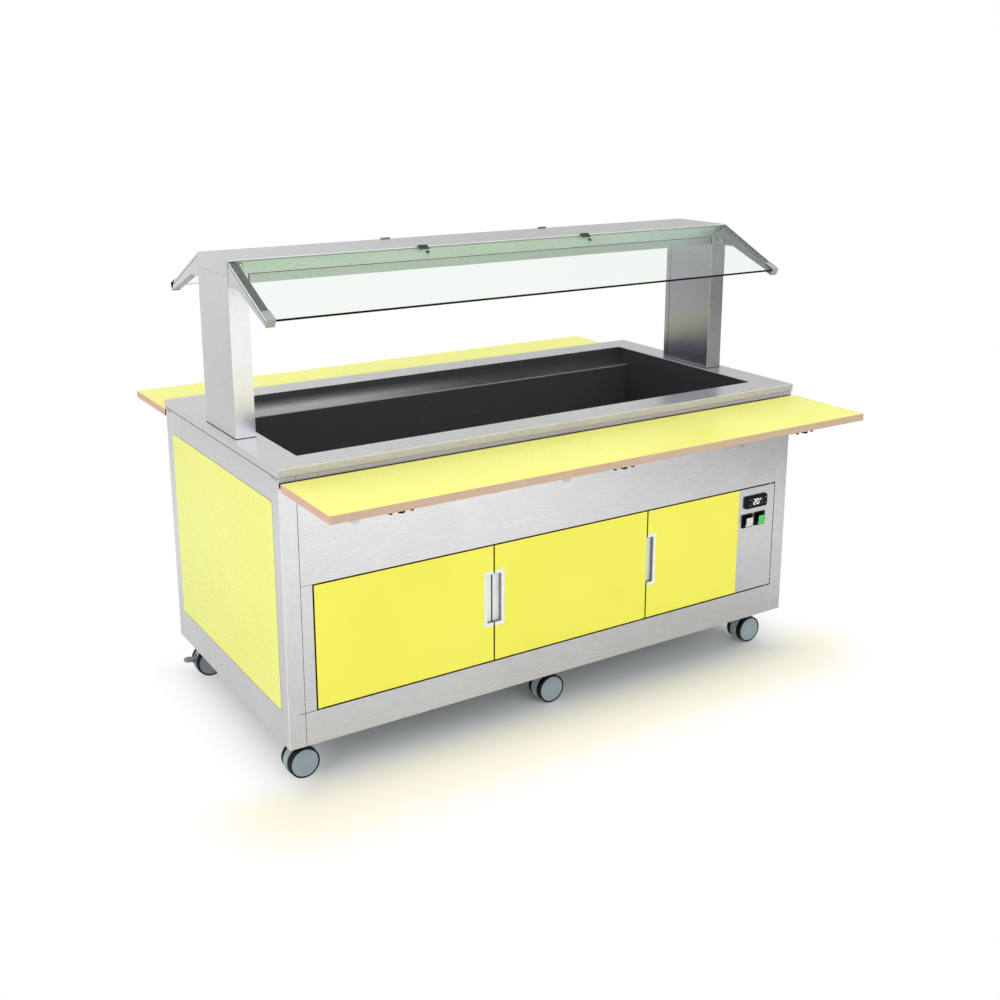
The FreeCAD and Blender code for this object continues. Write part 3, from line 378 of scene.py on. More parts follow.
def ply_edge(name, dark, middle, light):
    """Beech plies seen at the board's edge: every other one is end grain."""
    material, tree, shader = new_material(name, ior=1.5)
    place = add_node(tree, "ShaderNodeTexCoord").outputs["Object"]
    layers = add_node(tree, "ShaderNodeTexWave", {"bands_direction": "Z"}, {
        "Vector": place, "Scale": BAND_SCALE, "Distortion": 0.6, "Detail": 2.0}).outputs["Fac"]
    grain = grain_pattern(tree, 1.0, 4.0, (60, 60, 900))
    blend = add_node(tree, MIX, inputs={"Factor": 0.45, "A": layers, "B": grain})
    surface(tree, shader, blend, [(0.2, dark), (0.5, middle), (0.8, light)],
            grain, (0.38, 0.55), layers, 0.05, 0.3)
    return material


# A warm, striped edge along the board, and pinker end grain at its ends, paler with painted light
beech_ply = ply_edge("beech_plywood_edge", "#b08c71", "#c9a88e", "#d8bfa7")
beech_end_painted_light = ply_edge("beech_plywood_end_painted_light", "#c4937c", "#e0b19b", "#ecc6b3")
print("plywood edges ready, a band every", BAND, "m")

# %% [markdown]
# ## Moulded plastics and rubber
# The door pulls, caps, hubs and hoods are injection moulded. A spark-eroded mould
# leaves a fine, even grain, which shows as slightly soft highlights. One function
# serves them all, because only colour, gloss and the size of the grain differ.

# %% Plastics and rubber
def moulded(name, colour, shade, rough, grain_mm=0.6, depth_mm=0.015, ior=1.5):
    """A moulded plastic or rubber with a fine, even grain."""
    material, tree, shader = new_material(name, ior=ior)
    grain = grain_pattern(tree, 1 / (grain_mm * MM))
    surface(tree, shader, grain_pattern(tree, 40.0), [(0.3, shade), (0.7, colour)],
            grain, rough, grain, depth_mm, 0.3)
    return material


# Satin white of the door pulls, and painted shade on their cups' far walls
white_abs = moulded("abs_white_satin", "#f0f1f1", "#e9ebeb", (0.28, 0.36))
shaded_abs = moulded("abs_white_painted_shade", "#8f9090", "#868787", (0.45, 0.55))
# Light greys of the arms' end caps and of the casters, in three tones
grey_abs = moulded("abs_light_grey_satin", "#a5a39f", "#9c9a96", (0.34, 0.44))
hood_nylon = moulded("nylon_light_grey_hood", "#a9b5b8", "#9fabae", (0.30, 0.40))
hub_nylon = moulded("nylon_blue_grey_hub", "#9ba8ae", "#939fa6", (0.30, 0.40))
pedal_nylon = moulded("nylon_grey_pedal", "#8f9598", "#858b8e", (0.34, 0.44))
# Blacks: dull tyres, bezels and fan, softer-looking keys, and a shiny enamel
tyre_rubber = moulded("polyurethane_tyre_black", "#08090a", "#050607", (0.34, 0.48),
                      0.8, 0.03, 1.35)
black_abs = moulded("abs_black_satin", "#0c0d10", "#090a0c", (0.26, 0.36), 0.6, 0.015, 1.35)
bezel_nylon = moulded("nylon_black_bezel", "#060708", "#040505", (0.34, 0.46), 0.6, 0.015, 1.3)
fan_nylon = moulded("nylon_fan_black", "#232427", "#1d1e21", (0.34, 0.46))
enamel_black = moulded("enamel_black_gloss", "#17181a", "#121315", (0.14, 0.22), 1.2, 0.02)
# Soft, dull rubber, and a dark sealant that paints shadow lines at the joints
gasket_rubber = moulded("epdm_gasket_grey", "#666d6a", "#5e6562", (0.5, 0.65), 0.5, 0.02)
sealant_shadow_line = moulded("silicone_sealant_painted_shadow", "#1d1e1f", "#161718", (0.5, 0.65), 0.5, 0.02)
# The glossy polycarbonate of the rockers, and the flat ink of their marks
rocker_grey = moulded("polycarbonate_rocker_grey", "#dde0dd", "#d3d6d3", (0.16, 0.24))
rocker_green = moulded("polycarbonate_rocker_green", "#5bd06b", "#49bf5b", (0.14, 0.22))
mark_white = moulded("screen_ink_white", "#e8ecee", "#dfe3e5", (0.45, 0.6))
# The coarse, matt skin of poured foam
foam_skin = moulded("polyurethane_foam_cream", "#d8cc9c", "#cbbd8a", (0.75, 0.9), 2.0, 0.3)
print("plastics and rubber ready")

# %% [markdown]
# ## Small metals
# The clips are polished steel, darkened with painted shade, and the nuts on them are
# brighter with a painted highlight. The condenser's fins and the pan under the canopy
# are aluminium, the pan with a painted green tint of the glass in front of it. Their grain is
# fine and slightly drawn out along Z, and needs no relief.

# %% Small metals
def bare_metal(name, light, dark, rough, grain_mm):
    """A small part of bare metal, told by its tone and gloss alone."""
    material, tree, shader = new_material(name, metallic=1.0)
    grain = grain_pattern(tree, 1 / (grain_mm * MM), 3.0, (1, 1, 0.2))
    surface(tree, shader, grain, [(0.3, dark), (0.7, light)], grain, rough)
    return material


# Clips darkened with painted shade, nuts with a painted highlight, the soft grey of
# the fins, and the pan with a painted glass tint
clip_steel_painted_dark = bare_metal("steel_clip_painted_shade", "#767c7a", "#646a68", (0.14, 0.24), 2.0)
nut_steel_painted_highlight = bare_metal("steel_dome_nut_painted_highlight", "#e8eaea", "#d6d8d8", (0.10, 0.18), 2.0)
fin_aluminium = bare_metal("aluminium_fins_mill", "#b9bbbd", "#9fa1a3", (0.35, 0.5), 1.0)
# The pan takes a painted green tint of the glass in front of it
pan_aluminium_glass_tinted = bare_metal("aluminium_pan_painted_glass_tint", "#cedbd6", "#bdcac5", (0.34, 0.46), 1.5)
print("small metals ready")

# %% [markdown]
# ## Glass
# The guards are 6 mm toughened float glass, whose trace of iron tints it green. The
# faces let light through. The cut edges are modelled as surfaces of their own: the
# lower one is polished and takes painted shade, nearly black, and the others are ground and pale.

# %% Glass
def float_glass(name, colour, rough, see_through, shine=0.5):
    """Float glass with a faint film that changes its gloss."""
    material, tree, shader = new_material(name, ior=1.5, transmission_weight=see_through)
    gloss = add_node(tree, RANGE, inputs={"Value": grain_pattern(tree, 6.0),
                                          "To Min": rough[0], "To Max": rough[1]})
    tree.links.new(gloss.outputs["Result"], shader.inputs["Roughness"])
    shader.inputs["Base Color"].default_value = linear(colour)
    shader.inputs["Specular IOR Level"].default_value = shine
    return material


# Clear faces, which show what is behind and mirror the studio a little
guard_glass = float_glass("float_glass_clear", "#f9fffa", (0.0, 0.02), 1.0)
# A dark line of painted shade with little shine, and a pale, milky line
glass_edge_painted_dark = float_glass("float_glass_edge_painted_shade", "#060a08", (0.3, 0.4), 0.0, 0.1)
glass_top_edge = float_glass("float_glass_ground_edge", "#dbe4de", (0.3, 0.4), 0.0)
print("glass ready")

# %% [markdown]
# ## The display
# The thermostat's window is smoked acrylic, and its digits glow. A display is lit
# from within, so the digits take an emission a little under full strength.

# %% Display
def lit_digits():
    """Glowing segments, a little uneven as diodes are."""
    material, tree, shader = new_material("display_digits_lit", emission_strength=0.9)
    colour = add_node(tree, RAMP, inputs=(grain_pattern(tree, 300.0),),
                      stops=[(0.3, linear("#dfe9f2")), (0.7, linear("#f4f8fb"))])
    for socket in ("Base Color", "Emission Color"):
        tree.links.new(colour.outputs["Color"], shader.inputs[socket])
    return material


# Digits that glow softly, on a window that is nearly a black mirror
digit_glow = lit_digits()
display_window = moulded("acrylic_display_window", "#08090b", "#060709", (0.04, 0.08),
                         3.0, 0.005)
print("display ready")

# %% [markdown]
# ## Helpers for modelling
# A folded sheet or a routed board never has a knife-sharp edge. The quickest
# honest way to show that is to copy the CAD mesh, merge its loose triangles and
# round its edges with a Bevel modifier, then let the copy stand for the node.

# %% Selecting and modifying
def deselect():
    """Leaves edit mode and selects nothing."""
    if bpy.context.object and bpy.context.object.mode != "OBJECT":
        bpy.ops.object.mode_set(mode="OBJECT")
    bpy.ops.object.select_all(action="DESELECT")


def make_active(piece):
    """Selects one piece alone."""
    deselect()
    piece.select_set(True)
    bpy.context.view_layer.objects.active = piece


def apply_place(piece):
    """Puts the object's place, turn and scale into its mesh."""
    make_active(piece)
    bpy.ops.object.transform_apply(location=True, rotation=True, scale=True)


print("pieces can be selected and put in place")

# %% [markdown]
# ## Rounding edges
# Only edges sharper than an angle are rounded, and the flat faces beside them keep
# flat shading, so that light runs along the rounds and not over the whole sheet.

# %% Rounding and picking
def apply_modifier(piece, kind, **values):
    """Adds a modifier and applies it at once."""
    make_active(piece)
    modifier = piece.modifiers.new(kind.title(), kind)
    for key, value in values.items():
        setattr(modifier, key, value)
    bpy.ops.object.modifier_apply(modifier=modifier.name)


def round_edges(piece, radius, segments=2, angle=28):
    """Rounds every edge sharper than an angle, and shades the faces flat beside it."""
    apply_modifier(piece, "BEVEL", width=radius, segments=segments, limit_method="ANGLE",
                   angle_limit=radians(angle), harden_normals=False)
    make_active(piece)
    bpy.ops.object.shade_smooth_by_angle(angle=radians(angle))
    apply_modifier(piece, "WEIGHTED_NORMAL", keep_sharp=True, weight=100)


def pick(piece, test):
    """Selects the faces that pass a test of their centre and normal, in edit mode."""
    make_active(piece)
    bpy.ops.object.mode_set(mode="EDIT")
    bpy.ops.mesh.select_mode(type="FACE")
    bpy.ops.mesh.select_all(action="DESELECT")
    bpy.ops.object.mode_set(mode="OBJECT")
    for face in piece.data.polygons:
        face.select = test(face.center, face.normal)
    bpy.ops.object.mode_set(mode="EDIT")


print("edges can be rounded and faces picked")

# %% [markdown]
# ## Helpers for the assembly
# Every finished piece says which body carries it, and the CAD node it stands for, if
# any, is hidden. The slots come from the record itself.

# %% Finishing pieces
SLOTS = {s["node"]: s["material_slot"] for s in frame["record"]["subparts"]}


def body_of(node):
    """The body that carries a CAD node."""
    return frame["nodes"][node]["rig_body"]


def finish(piece, body, slot, *nodes):
    """Puts the piece's place in its mesh, says what it rides on, and hides the nodes it stands
    for.
    """
    apply_place(piece)
    deselect()
    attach(piece, body)
    if nodes:
        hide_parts(*nodes)
    return piece


print(len(SLOTS), "nodes have a slot")

# %% [markdown]
# ## Painting faces
# A folded sheet or a faced board shows more than one finish. Blender keeps a list of
# materials on each mesh, and each face holds a number in that list. So a piece is
# painted all over first, and then the faces that pass a test take one more material.

# %% Painting
def paint(piece, *materials):
    """Gives a piece these materials and no others."""
    piece.data.materials.clear()
    for material in materials:
        piece.data.materials.append(material)


def repaint_faces(piece, material, test):
    """Gives the faces that pass a test one more material."""
    piece.data.materials.append(material)
    index = len(piece.data.materials) - 1
    for face in piece.data.polygons:
        if test(face.center, face.normal):
            face.material_index = index


print("faces can be painted")

# %% [markdown]
# ## A rounded copy of a CAD node
# The CAD mesh is loose triangles, which a bevel can't round. The copy's corners are
# merged and its flat faces dissolved into one before the bevel. The CAD node itself
# is left alone, and the copy stands for it.

# %% Rounded copies
SAME_POINT = 0.02 * MM              # corners closer than this are merged


def rounded_copy(node, material, radius_mm, segments=2):
    """A copy of a CAD node with its triangles merged and its edges rounded."""
    piece = bpy.data.objects.new(f"{node}_dressed", frame["nodes"][node].data.copy())
    bpy.context.scene.collection.objects.link(piece)
    make_active(piece)
    bpy.ops.object.mode_set(mode="EDIT")
    bpy.ops.mesh.select_all(action="SELECT")
    bpy.ops.mesh.remove_doubles(threshold=SAME_POINT)
    bpy.ops.mesh.dissolve_limited(angle_limit=radians(0.5))
    bpy.ops.object.mode_set(mode="OBJECT")
    paint(piece, material)
    for face in piece.data.polygons:
        face.material_index = 0
    round_edges(piece, radius_mm * MM, segments)
    return finish(piece, body_of(node), SLOTS[node], node)


print("CAD nodes can be copied and rounded")

# %% [markdown]
# ## The sheet steel body
# Posts, rails, fascias and the worktop are folded sheet. A press brake leaves an
# outside radius near the sheet's thickness, and a painted highlight runs along it as
# a pale line. The belt runs along each piece's length, so posts are brushed upright
# and rails lengthwise. The seams are rebates one sheet deep, whose floors take painted shadow.

# %% Dress the body
SHEET = 1.5 * MM
FACING = 0.97                       # a normal this long along an axis faces that way
low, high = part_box("corner_posts")
BODY_END, BODY_SIDE = high.x, high.y
WORKTOP_FOLD, POST_FOLD = 0.37, 0.368   # the outer folds lie beyond, from the middle


def is_fold(centre, normal):
    """A rounded edge between two faces that look out at right angles."""
    return sum(0.25 < abs(value) < FACING for value in normal) == 2 and normal.z > -0.2


def one_sheet_deep(place, outside):
    """A face that lies one sheet's thickness inside the body's outside."""
    return abs(abs(place) - outside + SHEET) < 0.3 * MM


for node in ("front_fascia", "back_fascia", "bottom_rails"):
    rail = rounded_copy(node, steel_along if node == "bottom_rails" else steel_fascia, 0.6)
    repaint_faces(rail, seam_shade, lambda centre, normal: abs(normal.y) > 0.9
                  and one_sheet_deep(centre.y, BODY_SIDE))
end_rails = rounded_copy("end_rails", steel_across, 0.5)
repaint_faces(end_rails, seam_shade, lambda centre, normal: abs(normal.x) > 0.9
              and one_sheet_deep(centre.x, BODY_END))
worktop = rounded_copy("worktop", steel_along, 1.1)
repaint_faces(worktop, steel_folded, lambda centre, normal: abs(normal.y) > FACING)
# Painted highlight along the worktop's outer folds
repaint_faces(worktop, steel_painted_highlight, lambda centre, normal: is_fold(centre, normal)
              and abs(centre.y) > WORKTOP_FOLD and normal.z > 0.2)
posts = rounded_copy("corner_posts", steel_post, 1.6, 3)
# Painted highlight along the posts' outer folds
repaint_faces(posts, steel_painted_highlight, lambda centre, normal: is_fold(centre, normal)
              and abs(normal.z) < 0.2 and abs(centre.y) > POST_FOLD)
print("body dressed, ends at", round(BODY_END, 4), "sides at", round(BODY_SIDE, 4))

# %% [markdown]
# ## Columns and canopy
# Each column is a folded box with two upright grooves in its inner face. One takes
# painted shadow and looks dark, and the other a painted highlight and looks bright. The
# sides of columns, beam and arms take painted shade, a shade greyer than their tops,
# and the left column's front a painted light, so the same sheet takes a few tones of the same
# finish.

# %% Dress the columns and the canopy
INNER_FACE = 0.6865                 # the columns' inner faces, from the middle
GROOVE_REACH = 0.689                # the grooves' floors are nearer the middle than this
DARK_GROOVE, BRIGHT_GROOVE = 79 * MM, -95.5 * MM
GROOVE_HALF = 0.85 * MM


def in_groove(centre, groove):
    """A face in a groove of a column's inner face."""
    return abs(centre.x) < GROOVE_REACH and abs(centre.y - groove) < GROOVE_HALF


for node in ("left_column", "right_column"):
    column = rounded_copy(node, steel_upright, 0.4)
    # Painted shadow in one groove, a painted highlight in the other, painted light on the left
    # column's front, painted shade on the inner faces
    repaint_faces(column, seam_shade, lambda centre, normal: in_groove(centre, DARK_GROOVE))
    repaint_faces(column, steel_painted_highlight, lambda centre, normal: in_groove(centre, BRIGHT_GROOVE))
    repaint_faces(column, steel_front_painted_light, lambda centre, normal: centre.x < 0
                  and normal.y < -FACING)
    repaint_faces(column, steel_column_painted_shade, lambda centre, normal: centre.x * normal.x < -0.6
                  and abs(abs(centre.x) - INNER_FACE) < 0.1 * MM)
beam = rounded_copy("canopy_beam", steel_along, 1.1)
# Painted shade and glass tint on the beam's faces, and a painted highlight along its upper folds
repaint_faces(beam, steel_shaded, lambda centre, normal: abs(normal.y) > FACING)
repaint_faces(beam, steel_painted_highlight, lambda centre, normal: is_fold(centre, normal)
              and normal.z > 0.2 and abs(normal.y) > 0.2)
arms = rounded_copy("canopy_arms", steel_across, 0.4)
# Painted shade on the arms' undersides and inner sides
repaint_faces(arms, steel_arm_painted_shade, lambda centre, normal: normal.z < 0.3
              and centre.x * normal.x < 0.3 * abs(centre.x))
rounded_copy("canopy_underside", pan_aluminium_glass_tinted, 0.4)
print("columns and canopy dressed")

# %% [markdown]
# ## Brackets and the service door's shell
# The tray slides hang on wall brackets and fold on arms with round rubber feet, and
# the service door is a shallow steel pan. Their CAD shapes are complete, so copies
# with rounded edges serve.

# %% Dress the brackets and the shell
rounded_copy("service_door_shell", steel_along, 0.4)
rounded_copy("tray_brackets", steel_bracket_and_clip_light, 0.6)
for side in ("front", "back"):
    rounded_copy(f"{side}_tray_arms", steel_bracket_and_clip_light, 0.6)
    rounded_copy(f"{side}_tray_buffers", tyre_rubber, 0.6, 3)
print("brackets and shell dressed")

# %% [markdown]
# ## Column plugs
# A small black plug closes the hole near the head of each column's inner face. It is
# a short cylinder with a rounded rim that stands a little proud of the steel. It
# could be a dark spot in the finish, but its rim catches the light as a real one does.

# %% Model the column plugs
PLUG_RADIUS, PLUG_DEPTH = 2.2 * MM, 0.8 * MM
PLUG_X, PLUG_HEIGHT = 686.2, 1096   # millimetres

for side, x in (("left", -PLUG_X), ("right", PLUG_X)):
    deselect()
    bpy.ops.mesh.primitive_cylinder_add(vertices=24, radius=PLUG_RADIUS, depth=PLUG_DEPTH,
                                        location=Vector((x, 0, PLUG_HEIGHT)) * MM,
                                        rotation=(0, radians(90), 0))
    plug = bpy.context.object
    plug.name = f"{side}_column_plug"
    apply_place(plug)
    paint(plug, tyre_rubber)
    round_edges(plug, 0.2 * MM, 2, 30)
    finish(plug, body_of(f"{side}_column"), "gasket_rubber")
print("plugs at", PLUG_HEIGHT, "mm")

# %% [markdown]
# ## Sealant as painted shadow lines
# A fitter runs dark sealant round the columns' feet, under the worktop's ends, along the
# beam's joint and in the seam of the filler, so that no water gets in. Each run is a
# thin rounded strip that stands for the shadow line at its joint, a painted shadow
# that reads as a fine dark line. A curve could follow the joints too, but all of them are
# straight, so a stretched cube is enough.

# %% Model the sealant shadow lines
def bead(name, low_corner, high_corner):
    """A thin square run of dark sealant, a painted shadow line, between two corners, in
    millimetres.
    """
    deselect()
    start, end = Vector(low_corner) * MM, Vector(high_corner) * MM
    bpy.ops.mesh.primitive_cube_add(size=1, location=(start + end) / 2, scale=end - start)
    piece = bpy.context.object
    piece.name = name
    apply_place(piece)
    paint(piece, sealant_shadow_line)
    round_edges(piece, 0.3 * MM, 2, 30)
    finish(piece, "cabinet", "gasket_rubber")


# In millimetres: the worktop's top, the bead's top, and how far it stands out and under
TOP, BEAD_TOP, OUT, UNDER = 774, 775.2, 1, 0.4

for side in ("left", "right"):
    low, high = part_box(f"{side}_column")
    x_low, x_high, deep = low.x / MM, high.x / MM, high.y / MM
    runs = (((x_low - OUT, -deep - OUT, TOP), (x_high + OUT, -deep + UNDER, BEAD_TOP)),
            ((x_low - OUT, deep - UNDER, TOP), (x_high + OUT, deep + OUT, BEAD_TOP)),
            ((x_low - OUT, -deep, TOP), (x_low + UNDER, deep, BEAD_TOP)),
            ((x_high - UNDER, -deep, TOP), (x_high + OUT, deep, BEAD_TOP)))
    for number, (start, end) in enumerate(runs):
        bead(f"{side}_column_bead_{number}", start, end)
WORKTOP_ENDS, WORKTOP_HALF = (-749.2, 747.6), 370
for number, x in enumerate(WORKTOP_ENDS):
    bead(f"worktop_bead_{number}", (x, -WORKTOP_HALF, 753.6), (x + 1.6, WORKTOP_HALF, 756))
BEAM_SIDES, BEAM_HALF = (-97.3, 96.1), 681
for number, y in enumerate(BEAM_SIDES):
    bead(f"canopy_bead_{number}", (-BEAM_HALF, y, 1147.6), (BEAM_HALF, y + 1.2, 1149.2))
bead("filler_bead", (-722, -371.5, 200.6), (-679.5, -370.4, 201.7))
print("sealant laid")

# %% [markdown]
# ## Laminated doors and panels
# Each board keeps its yellow only on its face. After the edges are rounded, every
# face that doesn't look outwards takes the dark brown core, which is what draws
# the thin brown line round each door.

# %% Dress the doors and panels
LOOKING = {
    "left_door_panel": -1, "middle_door_panel": -1, "service_door_panel": -1,
    "back_panel": 1,
}
for node, way in LOOKING.items():
    board = rounded_copy(node, brown_core, 0.4)
    repaint_faces(board, yellow_laminate, lambda centre, normal: normal.y * way > 0.5)
ends = rounded_copy("end_panels", brown_core, 0.4)
# The outer faces take the paler laminate with a painted sheen
repaint_faces(ends, laminate_painted_sheen,
              lambda centre, normal: normal.x * centre.x > 0.5 * abs(centre.x))
print("doors and panels dressed")

# %% [markdown]
# ## Tray boards
# A tray board is plywood with laminate on both sides and a routed 1.4 mm round on
# every edge. It is simple enough to model afresh: a cube at the board's size, its
# top and bottom inset so that the round stays even, and its edges bevelled. Then
# the flat faces are laminate with a painted sheen, the long outer edge is ply, the ends
# are end grain with painted light, and the edge towards the case takes a dark painted shade.

# %% Model the tray boards
BOARD_ROUND, BOARD_INSET = 1.4 * MM, 2.5 * MM
PLY_EDGE, TOP_FACE, BACK_EDGE, SHORT_END = range(4)


def edge_kind(normal, inwards):
    """Which of the board's four materials a face takes, from where it looks."""
    if abs(normal.z) > 0.93:
        return TOP_FACE
    if normal.y * inwards > 0.7:
        return BACK_EDGE
    return SHORT_END if abs(normal.x) > 0.3 else PLY_EDGE


for node in ("front_tray_board", "back_tray_board"):
    low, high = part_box(node)
    deselect()
    bpy.ops.mesh.primitive_cube_add(size=1, location=(low + high) / 2, scale=high - low)
    board = bpy.context.object
    board.name = f"{node}_dressed"
    apply_place(board)
    pick(board, lambda centre, normal: abs(normal.z) > 0.5)
    bpy.ops.mesh.inset(thickness=BOARD_INSET, depth=0)
    bpy.ops.object.mode_set(mode="OBJECT")
    # Painted sheen on top and bottom, painted light on the ends, painted shade on the edge
    # towards the case
    paint(board, beech_ply, laminate_painted_sheen, tray_back_edge_shade, beech_end_painted_light)
    round_edges(board, BOARD_ROUND, 2, 60)
    for face in board.data.polygons:
        face.material_index = edge_kind(face.normal, 1 if low.y < 0 else -1)
    finish(board, body_of(node), SLOTS[node], node)
    print(node, "is", round((high.y - low.y) / MM), "mm wide")

# %% [markdown]
# ## Guard glass, gaskets and caps
# The panes lie on grey gaskets along the arms. Looking along a cut edge, the eye
# sees the whole depth of the glass: the lower edge takes painted shade and is nearly
# black, and the ground upper edge and sides are pale. The moulded caps hold the lower corners.

# %% Dress the guards
SLOPE = radians(25.5)
GASKET_DROP = 0.15 * MM             # keeps the gaskets' tops clear of the panes

for node, sign in (("front_glass", -1), ("back_glass", 1)):
    pane = rounded_copy(node, guard_glass, 0.4)
    upwards = Vector((0, sign * sin(SLOPE), cos(SLOPE)))
    uphill = Vector((0, -sign * cos(SLOPE), sin(SLOPE)))
    # Painted shade: the lower edge is nearly black
    repaint_faces(pane, glass_edge_painted_dark, lambda centre, normal: abs(normal.dot(upwards)) < 0.6)
    repaint_faces(pane, glass_top_edge, lambda centre, normal: normal.dot(uphill) > 0.6
                  or abs(normal.x) > 0.6)
gaskets = rounded_copy("glass_gaskets", gasket_rubber, 0.2)
for corner in gaskets.data.vertices:
    corner.co.z -= GASKET_DROP
rounded_copy("arm_end_caps", grey_abs, 1.4, 3)
print("guards dressed")

# %% [markdown]
# ## Clips and nuts
# Polished clips hold the upper edge of the glass, and round nuts fix clips and arms.
# A nut's end is a dome in a dark ring, the dome bright with a painted highlight. Two
# insets of its flat end make both: the first leaves the ring, the second lifts the middle.

# %% Clips and nuts
RING, DOME_STEP, DOME_RISE = 1.8 * MM, 0.6 * MM, 1.0 * MM
BEAM_NUTS, ARM_NUTS = 1.169, 1.138  # heights of the two rows


def is_nut_end(centre, normal):
    """The outer end of a nut on the beam or on an arm's inner side."""
    on_beam = abs(normal.y) > 0.98 and abs(centre.z - BEAM_NUTS) < MM
    on_arm = abs(normal.x) > 0.98 and abs(centre.z - ARM_NUTS) < MM
    return on_beam or on_arm


clips = rounded_copy("glass_clips", clip_steel_painted_dark, 0.5)
pick(clips, is_nut_end)
bpy.ops.mesh.inset(thickness=RING, depth=0, use_individual=True)
bpy.ops.mesh.inset(thickness=DOME_STEP, depth=DOME_RISE, use_individual=True)
bpy.ops.object.mode_set(mode="OBJECT")
domes = [face.index for face in clips.data.polygons if face.select]
# Painted highlight: the nuts' domes take the bright steel
clips.data.materials.append(nut_steel_painted_highlight)
for number in domes:
    clips.data.polygons[number].material_index = 1
# Painted light: the clips at the back take the lighter bracket steel
repaint_faces(clips, steel_bracket_and_clip_light, lambda centre, normal: centre.y > 0)
print(len(domes), "domes on the nuts")

# %% [markdown]
# ## Door pulls
# Each pull is a white half cup, open at the door's edge. A 0.4 mm round on its rim
# catches the light as the moulding does. The cup's far walls turn away from the
# light, so they take painted shade, a darker white.

# %% Dress the pulls
RIM_Y, RIM_X, RIM_Z = 2.5 * MM, 3 * MM, 5 * MM
for node in ("left_door_pull", "middle_door_pull", "service_door_pull"):
    pull = rounded_copy(node, white_abs, 0.4)
    low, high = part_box(node)
    # Painted shade on the cup's far walls
    repaint_faces(pull, shaded_abs, lambda centre, normal: centre.y > low.y + RIM_Y
                  and (normal.x < -0.6 or normal.z > 0.6)
                  and low.x + RIM_X < centre.x and low.z + RIM_Z < centre.z)
print("pulls dressed")

# %% [markdown]
# ## The well and what is inside
# The basin gets its dark coat. The foam, floor, divider and condensing unit are
# hidden until a door opens, so the CAD shapes stay and only take their finish.

# %% Dress the well and the inside
rounded_copy("well_basin", well_coat, 2.5, 4)
rounded_copy("compressor", enamel_black, 1.5)
INSIDE = {
    "well_insulation": foam_skin, "cabinet_floor": steel_inner,
    "cupboard_divider": steel_inner, "condenser": fin_aluminium,
    "condenser_fan": fan_nylon,
}
for node, material in INSIDE.items():
    paint(frame["nodes"][node], material)
print(len(INSIDE), "CAD shapes painted inside")

# %% [markdown]
# ## Twin-wheel casters
# Each caster has two discs with a thin black tyre and a large blue-grey hub, and a
# light grey hood between them. The wheel is modelled once from a cylinder: its
# tread is inset and drawn in to a groove, its sides are sunk to take the hub, and
# its rims are rounded.

# %% Model one tyre
WHEEL_RADIUS, HUB_RADIUS = 37.5 * MM, 33.5 * MM
TREAD_INSET, TREAD_DRAWN_IN = 0.38, 0.955


def disc(name, radius, depth, centre):
    """A cylinder whose axis runs along Y."""
    deselect()
    bpy.ops.mesh.primitive_cylinder_add(vertices=96, radius=radius, depth=depth,
                                        location=centre, rotation=(radians(90), 0, 0))
    piece = bpy.context.object
    piece.name = name
    apply_place(piece)
    return piece


def tyre(centre, width):
    """A tyre with a shallow groove in its tread and sunk sides for the hub."""
    piece = disc("tyre", WHEEL_RADIUS, width, centre)
    pick(piece, lambda at, normal: abs(normal.y) < 0.5)
    bpy.ops.mesh.inset(thickness=width * TREAD_INSET, depth=0)
    bpy.ops.transform.resize(value=(TREAD_DRAWN_IN, 1, TREAD_DRAWN_IN), center_override=centre)
    pick(piece, lambda at, normal: abs(normal.y) > 0.9)
    bpy.ops.mesh.inset(thickness=WHEEL_RADIUS - HUB_RADIUS, depth=0)
    bpy.ops.mesh.inset(thickness=0.4 * MM, depth=-1.0 * MM)
    bpy.ops.object.mode_set(mode="OBJECT")
    paint(piece, tyre_rubber)
    round_edges(piece, 1.2 * MM, 3, 40)
    return piece


print("tyre radius", WHEEL_RADIUS, "m")

# %% [markdown]
# ## The hub
# The hub is a cover that is pressed into the tyre's outer side. Three insets of its
# face make it: a narrow rim, a step down to the dish, and a low cap in the middle.

# %% Model one hub
HUB_PLAY, HUB_RIM, HUB_STEP = 0.3 * MM, 1.6 * MM, 0.8 * MM
HUB_DISH, CAP_INSET, CAP_RISE = -0.9 * MM, 19 * MM, 0.5 * MM


def hub(centre, width, outwards):
    """A dished cover on the wheel's outer side, with a raised rim and a cap."""
    piece = disc("hub", HUB_RADIUS - HUB_PLAY, width, centre)
    pick(piece, lambda at, normal: normal.y * outwards > 0.9)
    bpy.ops.mesh.inset(thickness=HUB_RIM, depth=0)
    bpy.ops.mesh.inset(thickness=HUB_STEP, depth=HUB_DISH)
    bpy.ops.mesh.inset(thickness=CAP_INSET, depth=CAP_RISE)
    bpy.ops.object.mode_set(mode="OBJECT")
    paint(piece, hub_nylon)
    round_edges(piece, 0.5 * MM, 2, 30)
    return piece


print("hub radius", HUB_RADIUS - HUB_PLAY, "m")

# %% [markdown]
# ## The six wheel pairs
# The two wheels of a caster turn on one axle and are one body, so they are joined.
# One pair is modelled at the first caster and copied to all six, each copy with its
# own mesh, so that every piece has its place in its own mesh.

# %% Put the wheels on the casters
CASTERS = ("front_left", "front_middle", "front_right", "back_left", "back_middle",
           "back_right")
WHEEL_WIDTH, TYRE_GAP = 16 * MM, 0.2 * MM
HUB_WIDTH, HUB_IN = 6 * MM, 3.2 * MM


def joined(pieces, name):
    """Joins several pieces into the first one."""
    deselect()
    for piece in pieces:
        piece.select_set(True)
    bpy.context.view_layer.objects.active = pieces[0]
    bpy.ops.object.join()
    pieces[0].name = name
    return pieces[0]


